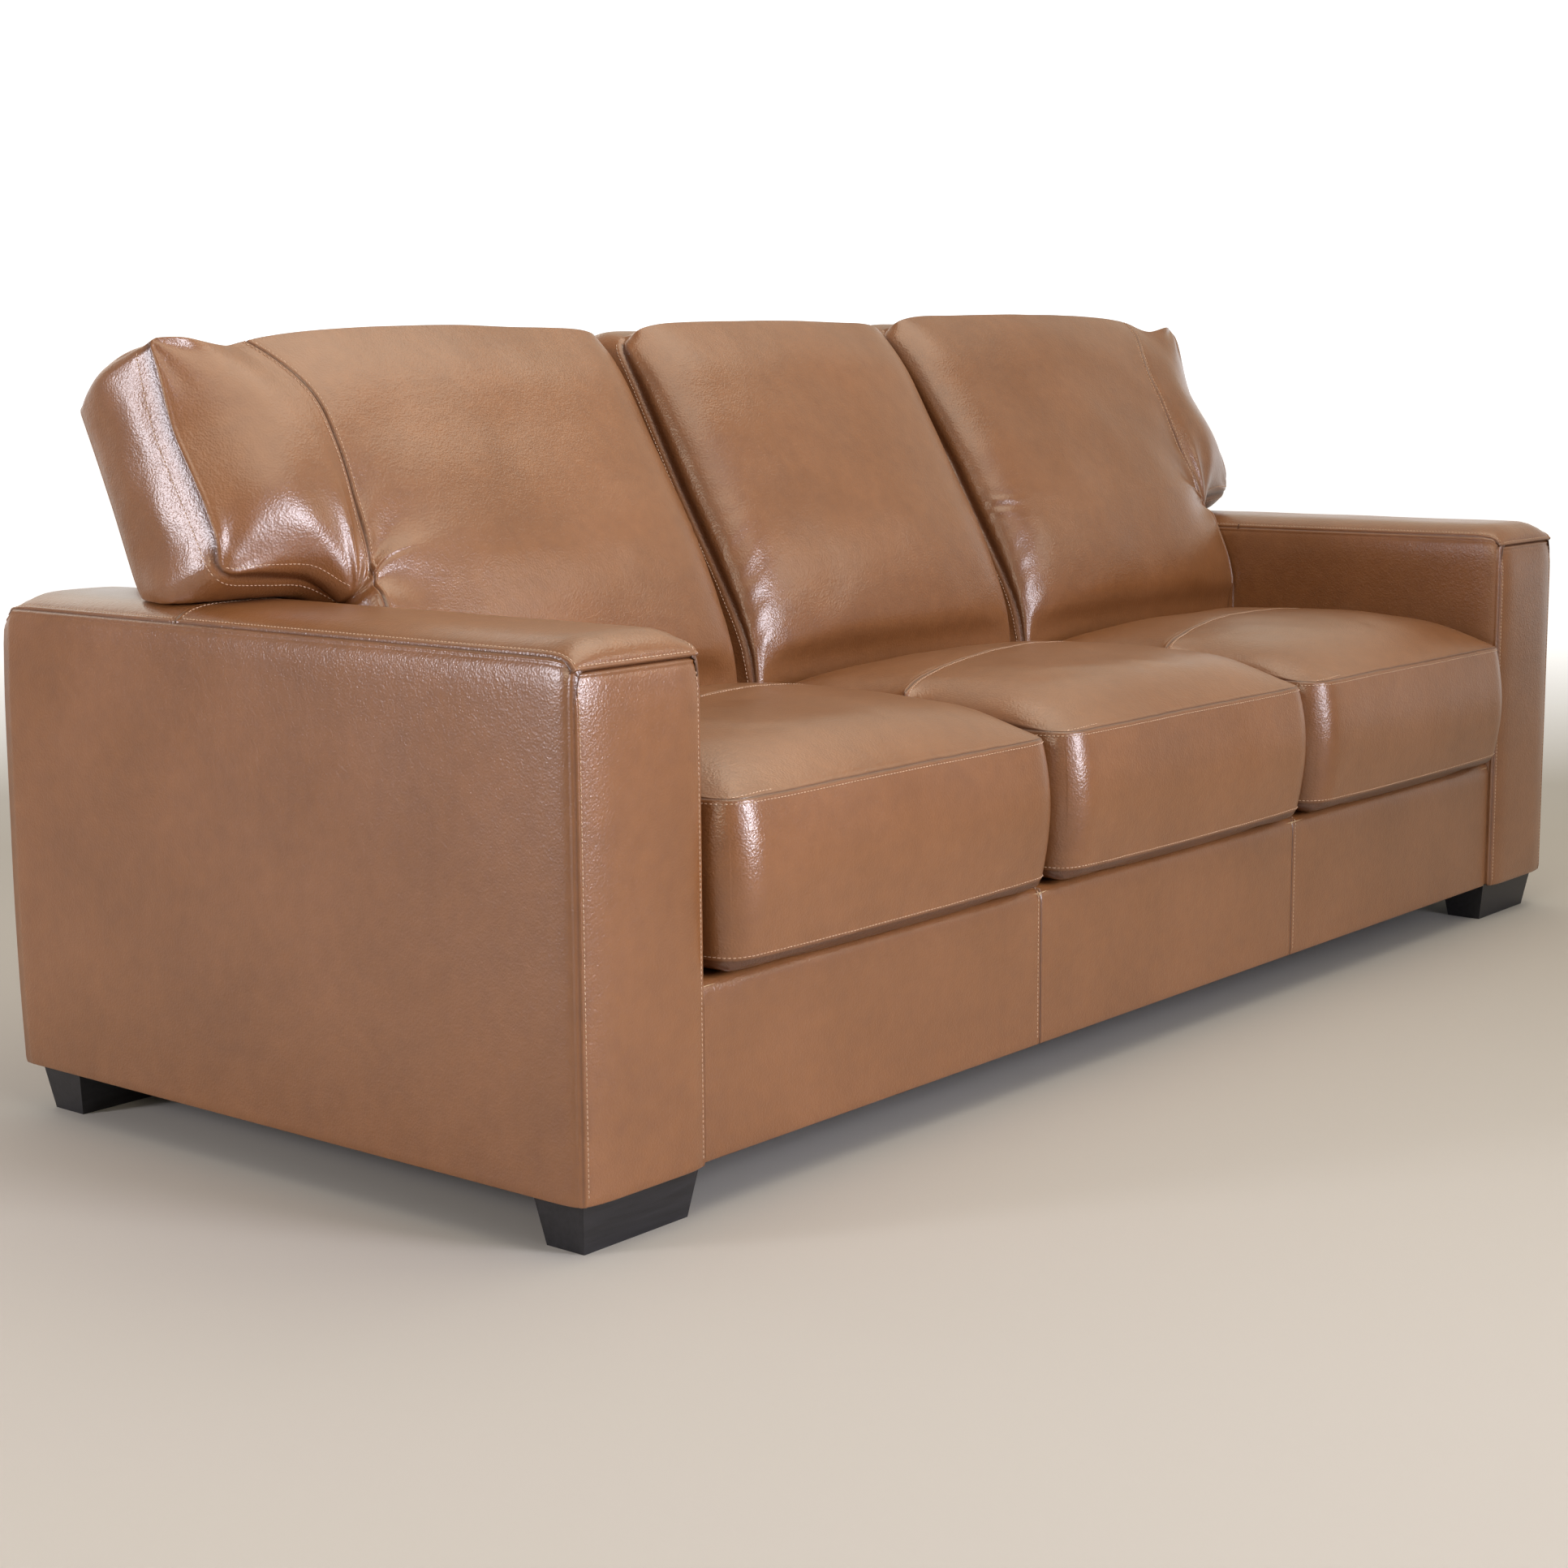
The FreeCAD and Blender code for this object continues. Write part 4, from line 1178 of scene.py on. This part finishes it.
        # the seam at the root of the wing curves outwards at its ends, and the tuck pulls it down beside the arm
        bow = 0.045 * unit((gv - 0.80) / 0.09) ** 2 + 0.018 * unit((0.75 - gv) / 0.12) ** 2
        points[:, 0] -= np.where(face, bow * bell(gu + WING_SEAM, 0.07), 0)
        tuck = bell(np.hypot(gu - px, gv - pz), 0.034) * (1 - w)
        points[:, 2] -= 0.030 * tuck
        points[:, 1] -= 0.016 * tuck
    if side == "right":
        points[:, 0] *= -1
        pillow.faces = [tuple(reversed(f)) for f in pillow.faces]
    top_row = gv > head - 1e-5
    # the seam mask, darkened as painted shade along the seams of the face and the boxing
    seam = np.where(pillow.k == last, 0, bell(strip_d, 0.0018) * ~top_row)
    seam = np.where(face, bell(edge, 0.0016), seam)
    if wing:
        seam = np.maximum(seam, np.where(face, bell(gu + WING_SEAM, 0.0014), 0))
    pins = np.where((pillow.k == last) & (gv < 0.78) & (gu > (arm or -9)), 1.0, 0.0)
    pins = np.maximum(pins, np.where(gv < 0.42, 1.0, 0.0))
    shrink = np.where(face, np.exp(-edge / 0.006), np.exp(-strip_d / 0.006) * ~top_row)
    if wing:
        shrink = np.maximum(shrink, np.where(face, 0.7 * np.exp(-np.abs(gu + WING_SEAM) / 0.005), 0))
    near = np.where(face, bell(edge, 0.05), 0.6)

    def limit(p):
        x = np.abs(p[:, 0])
        if wing:
            body = x < INNER + 0.001
            low_part = p[:, 2] < arm_top_height(x) + 0.0012
            over = (x > INNER - 0.0015) & low_part
            # over the arm the wing lies on its top; beside the arm the body stays inside
            p[:, 2] = np.where(over & (x > INNER + 0.004), arm_top_height(x) + 0.0012, p[:, 2])
            p[:, 0] = np.where(over & (x <= INNER + 0.004), np.sign(p[:, 0]) * (INNER - 0.0015), p[:, 0])
            inner_end = GAP_X + 0.0008
            p[:, 0] = np.where(x < inner_end, np.sign(p[:, 0]) * inner_end, p[:, 0])
        else:
            p[:, 0] = np.clip(p[:, 0], -GAP_X + 0.0008, GAP_X - 0.0008)
        plane = frame_line(p[:, 2]) + 0.0038
        held_back = (p[:, 2] < BACK_TOP + 0.01) & (x < INNER)
        p[:, 1] = np.where(held_back, np.minimum(p[:, 1], plane), p[:, 1])
        lifting = 0.0205 - 0.577 * np.maximum(p[:, 2] - 0.489, 0)
        p[:, 1] = np.where(p[:, 2] < 0.60, np.maximum(p[:, 1], lifting), p[:, 1])
        return p

    obj = soft_object(
        f"{side}_back_leather", pillow, points, seam, pins=pins, shrink=shrink, near=near, cap=0.009, limit=limit,
        stitch=lambda item: back_stitching(side, item, arm),
    )
    upholster(obj, [f"{side}_back_cover", f"{side}_back_filling"])


for number, place in enumerate(SIDES):
    build_back(place, 60 + number)



def nearest(values, target):
    return int(np.argmin(np.abs(np.asarray(values) - target)))


def seat_stitching(side, item):
    pillow = item["pillow"]
    us, vs = pillow.us, pillow.vs
    nu, nv = len(us), len(vs)
    first = nearest(us, us[0] + STITCH_INSET)
    doubled = nearest(us, us[0] + 0.085)
    rows = [[(i, nearest(vs, vs[0] + STITCH_INSET), 0) for i in range(first, doubled + 1)]]
    ring = [(0, j) for j in range(nv - 1, 0, -1)] + [(i, 0) for i in range(nu)] + [(nu - 1, j) for j in range(1, nv)]
    for share in (pillow.layers, 1 - pillow.layers):
        k = nearest(share * (SEAT_SEAM - SEAT_FOOT), STITCH_INSET)
        rows.append([(i, j, k) for i, j in ring])
    rows.append([(i, nearest(vs, SEAT_CROSS - STITCH_INSET), 0) for i in range(3, nu - 3)])
    return f"{side}_seat_stitching", rows, f"{side}_seat_cushion"


def back_stitching(side, item, arm):
    us, vs = item["pillow"].us, item["pillow"].vs
    nu, nv = len(us), len(vs)
    layer = 2
    rows = [[(nu - 1, j, layer) for j in range(nv)]]
    if side == "middle":
        rows.append([(0, j, layer) for j in range(nv)])
    else:
        foot, root = nearest(vs, WING_FOOT), nearest(us, arm)
        rows.append([(0, j, layer) for j in range(foot, nv)])
        rows.append([(i, foot, layer) for i in range(root + 1)])
        rows.append([(i, nearest(vs, WING_FOOT + STITCH_INSET), 0) for i in range(3, root - 1)])
        for x in (-WING_SEAM - 0.0058, -WING_SEAM + 0.0058):
            rows.append([(nearest(us, x), j, 0) for j in range(foot, nv)])
    return f"{side}_back_stitching", rows, ROOT


simulate()
finish_cushions()
for cushion in CUSHIONS:
    title, rows, rides_on = cushion["stitch"](cushion)
    numbers = [[cushion["pillow"].index[spot] for spot in row if spot in cushion["pillow"].index] for row in rows]
    stitches(title, [(cushion["co"][row], cushion["no"][row]) for row in numbers], rides_on, CUSHION_STITCH)

# ---------------------------------------------------------------- lights, floor


def area(name, at, target, size, power, colour=(1, 1, 1), spread=180):
    data = bpy.data.lights.new(name, "AREA")
    data.shape = "RECTANGLE"
    data.size, data.size_y = size
    data.energy = power
    data.color = colour
    data.spread = math.radians(spread)
    lamp = bpy.data.objects.new(name, data)
    lamp.location = at
    direction = Vector(target) - Vector(at)
    lamp.rotation_euler = direction.to_track_quat("-Z", "Y").to_euler()
    scene.collection.objects.link(lamp)
    return lamp


COOL, WARM = (0.91, 0.90, 1.0), (1.0, 0.90, 0.72)
area("window", (0.1, -4.4, 1.7), (-1.7, 0, 0.8), (1.15, 2.0), 44, COOL, 88)
area("window_left", (-1.7, -4.4, 1.7), (-1.3, 0, 0.6), (0.45, 2.2), 16, COOL)
area("high_window", (3.3, -4.3, 3.2), (-0.4, 0, 0.6), (2.2, 0.9), 24, WARM)
area("side_window", (-4.7, 1.7, 1.45), (-1.1, 0, 0.6), (0.75, 1.2), 84, (0.95, 0.92, 1.0))
area("side_fill", (-4.9, -1.3, 2.2), (-1.1, 0, 0.6), (1.6, 1.0), 36, WARM)
area("ceiling", (0.0, -0.9, 3.3), (-0.2, -0.6, 0.3), (4.2, 2.2), 58, WARM)
area("behind", (0.2, 3.6, 2.5), (-0.4, 0, 0.6), (3.4, 1.2), 20, (1.0, 0.95, 0.88))



def away(tree, direction):
    """How far a place or a direction lies away from the camera, over the floor."""
    dot = node(tree, "VectorMath", operation="DOT_PRODUCT")
    dot.inputs[1].default_value = (0.77, 0.64, 0.0)
    tree.links.new(direction, dot.inputs[0])
    return dot.outputs["Value"]


def grey(level):
    return (level, level, level)


floor = new_mesh("floor", [(-40, -40, 0), (40, -40, 0), (40, 40, 0), (-40, 40, 0)], [(0, 1, 2, 3)])
floor_look, floor_tree, floor_place = start_material("floor")
# painted light on the floor: darker under and in front of the sofa, a painted shadow pool; beyond it the floor turns
# pale and glows (emission), painted light that blends into the white backdrop
reach = mapped(floor_tree, away(floor_tree, floor_place), 0, 1, 1.2, 5.0)
shade(
    floor_look,
    Base_Color=ramp(floor_tree, reach, [(0.0, (0.50, 0.475, 0.44)), (1.0, grey(0.85))]),
    Emission_Color=ramp(floor_tree, reach, [(0.15, grey(0)), (0.9, grey(0.72))]),
    Emission_Strength=1.0,
    Roughness=0.9,
)
floor.data.materials.append(floor_look)

world = bpy.data.worlds.new("world")
scene.world = world
world.use_nodes = True
sky = world.node_tree
direction = node(sky, "TexCoord").outputs["Generated"]
toward = away(sky, direction)
low_sky = ramp(sky, toward, [(0.0, (0.17, 0.16, 0.155)), (0.55, (0.42, 0.39, 0.34)), (0.75, grey(1))])
high_sky = ramp(sky, toward, [(0.0, (0.20, 0.19, 0.18)), (0.8, (0.60, 0.55, 0.45))])
height = node(sky, "SeparateXYZ", Vector=direction).outputs["Z"]
background = sky.nodes["Background"]
sky.links.new(mixed(sky, mapped(sky, height, 0, 1, 0.15, 0.26), low_sky, high_sky), background.inputs[0])
background.inputs[1].default_value = 1.35
scene.view_settings.view_transform = "Standard"
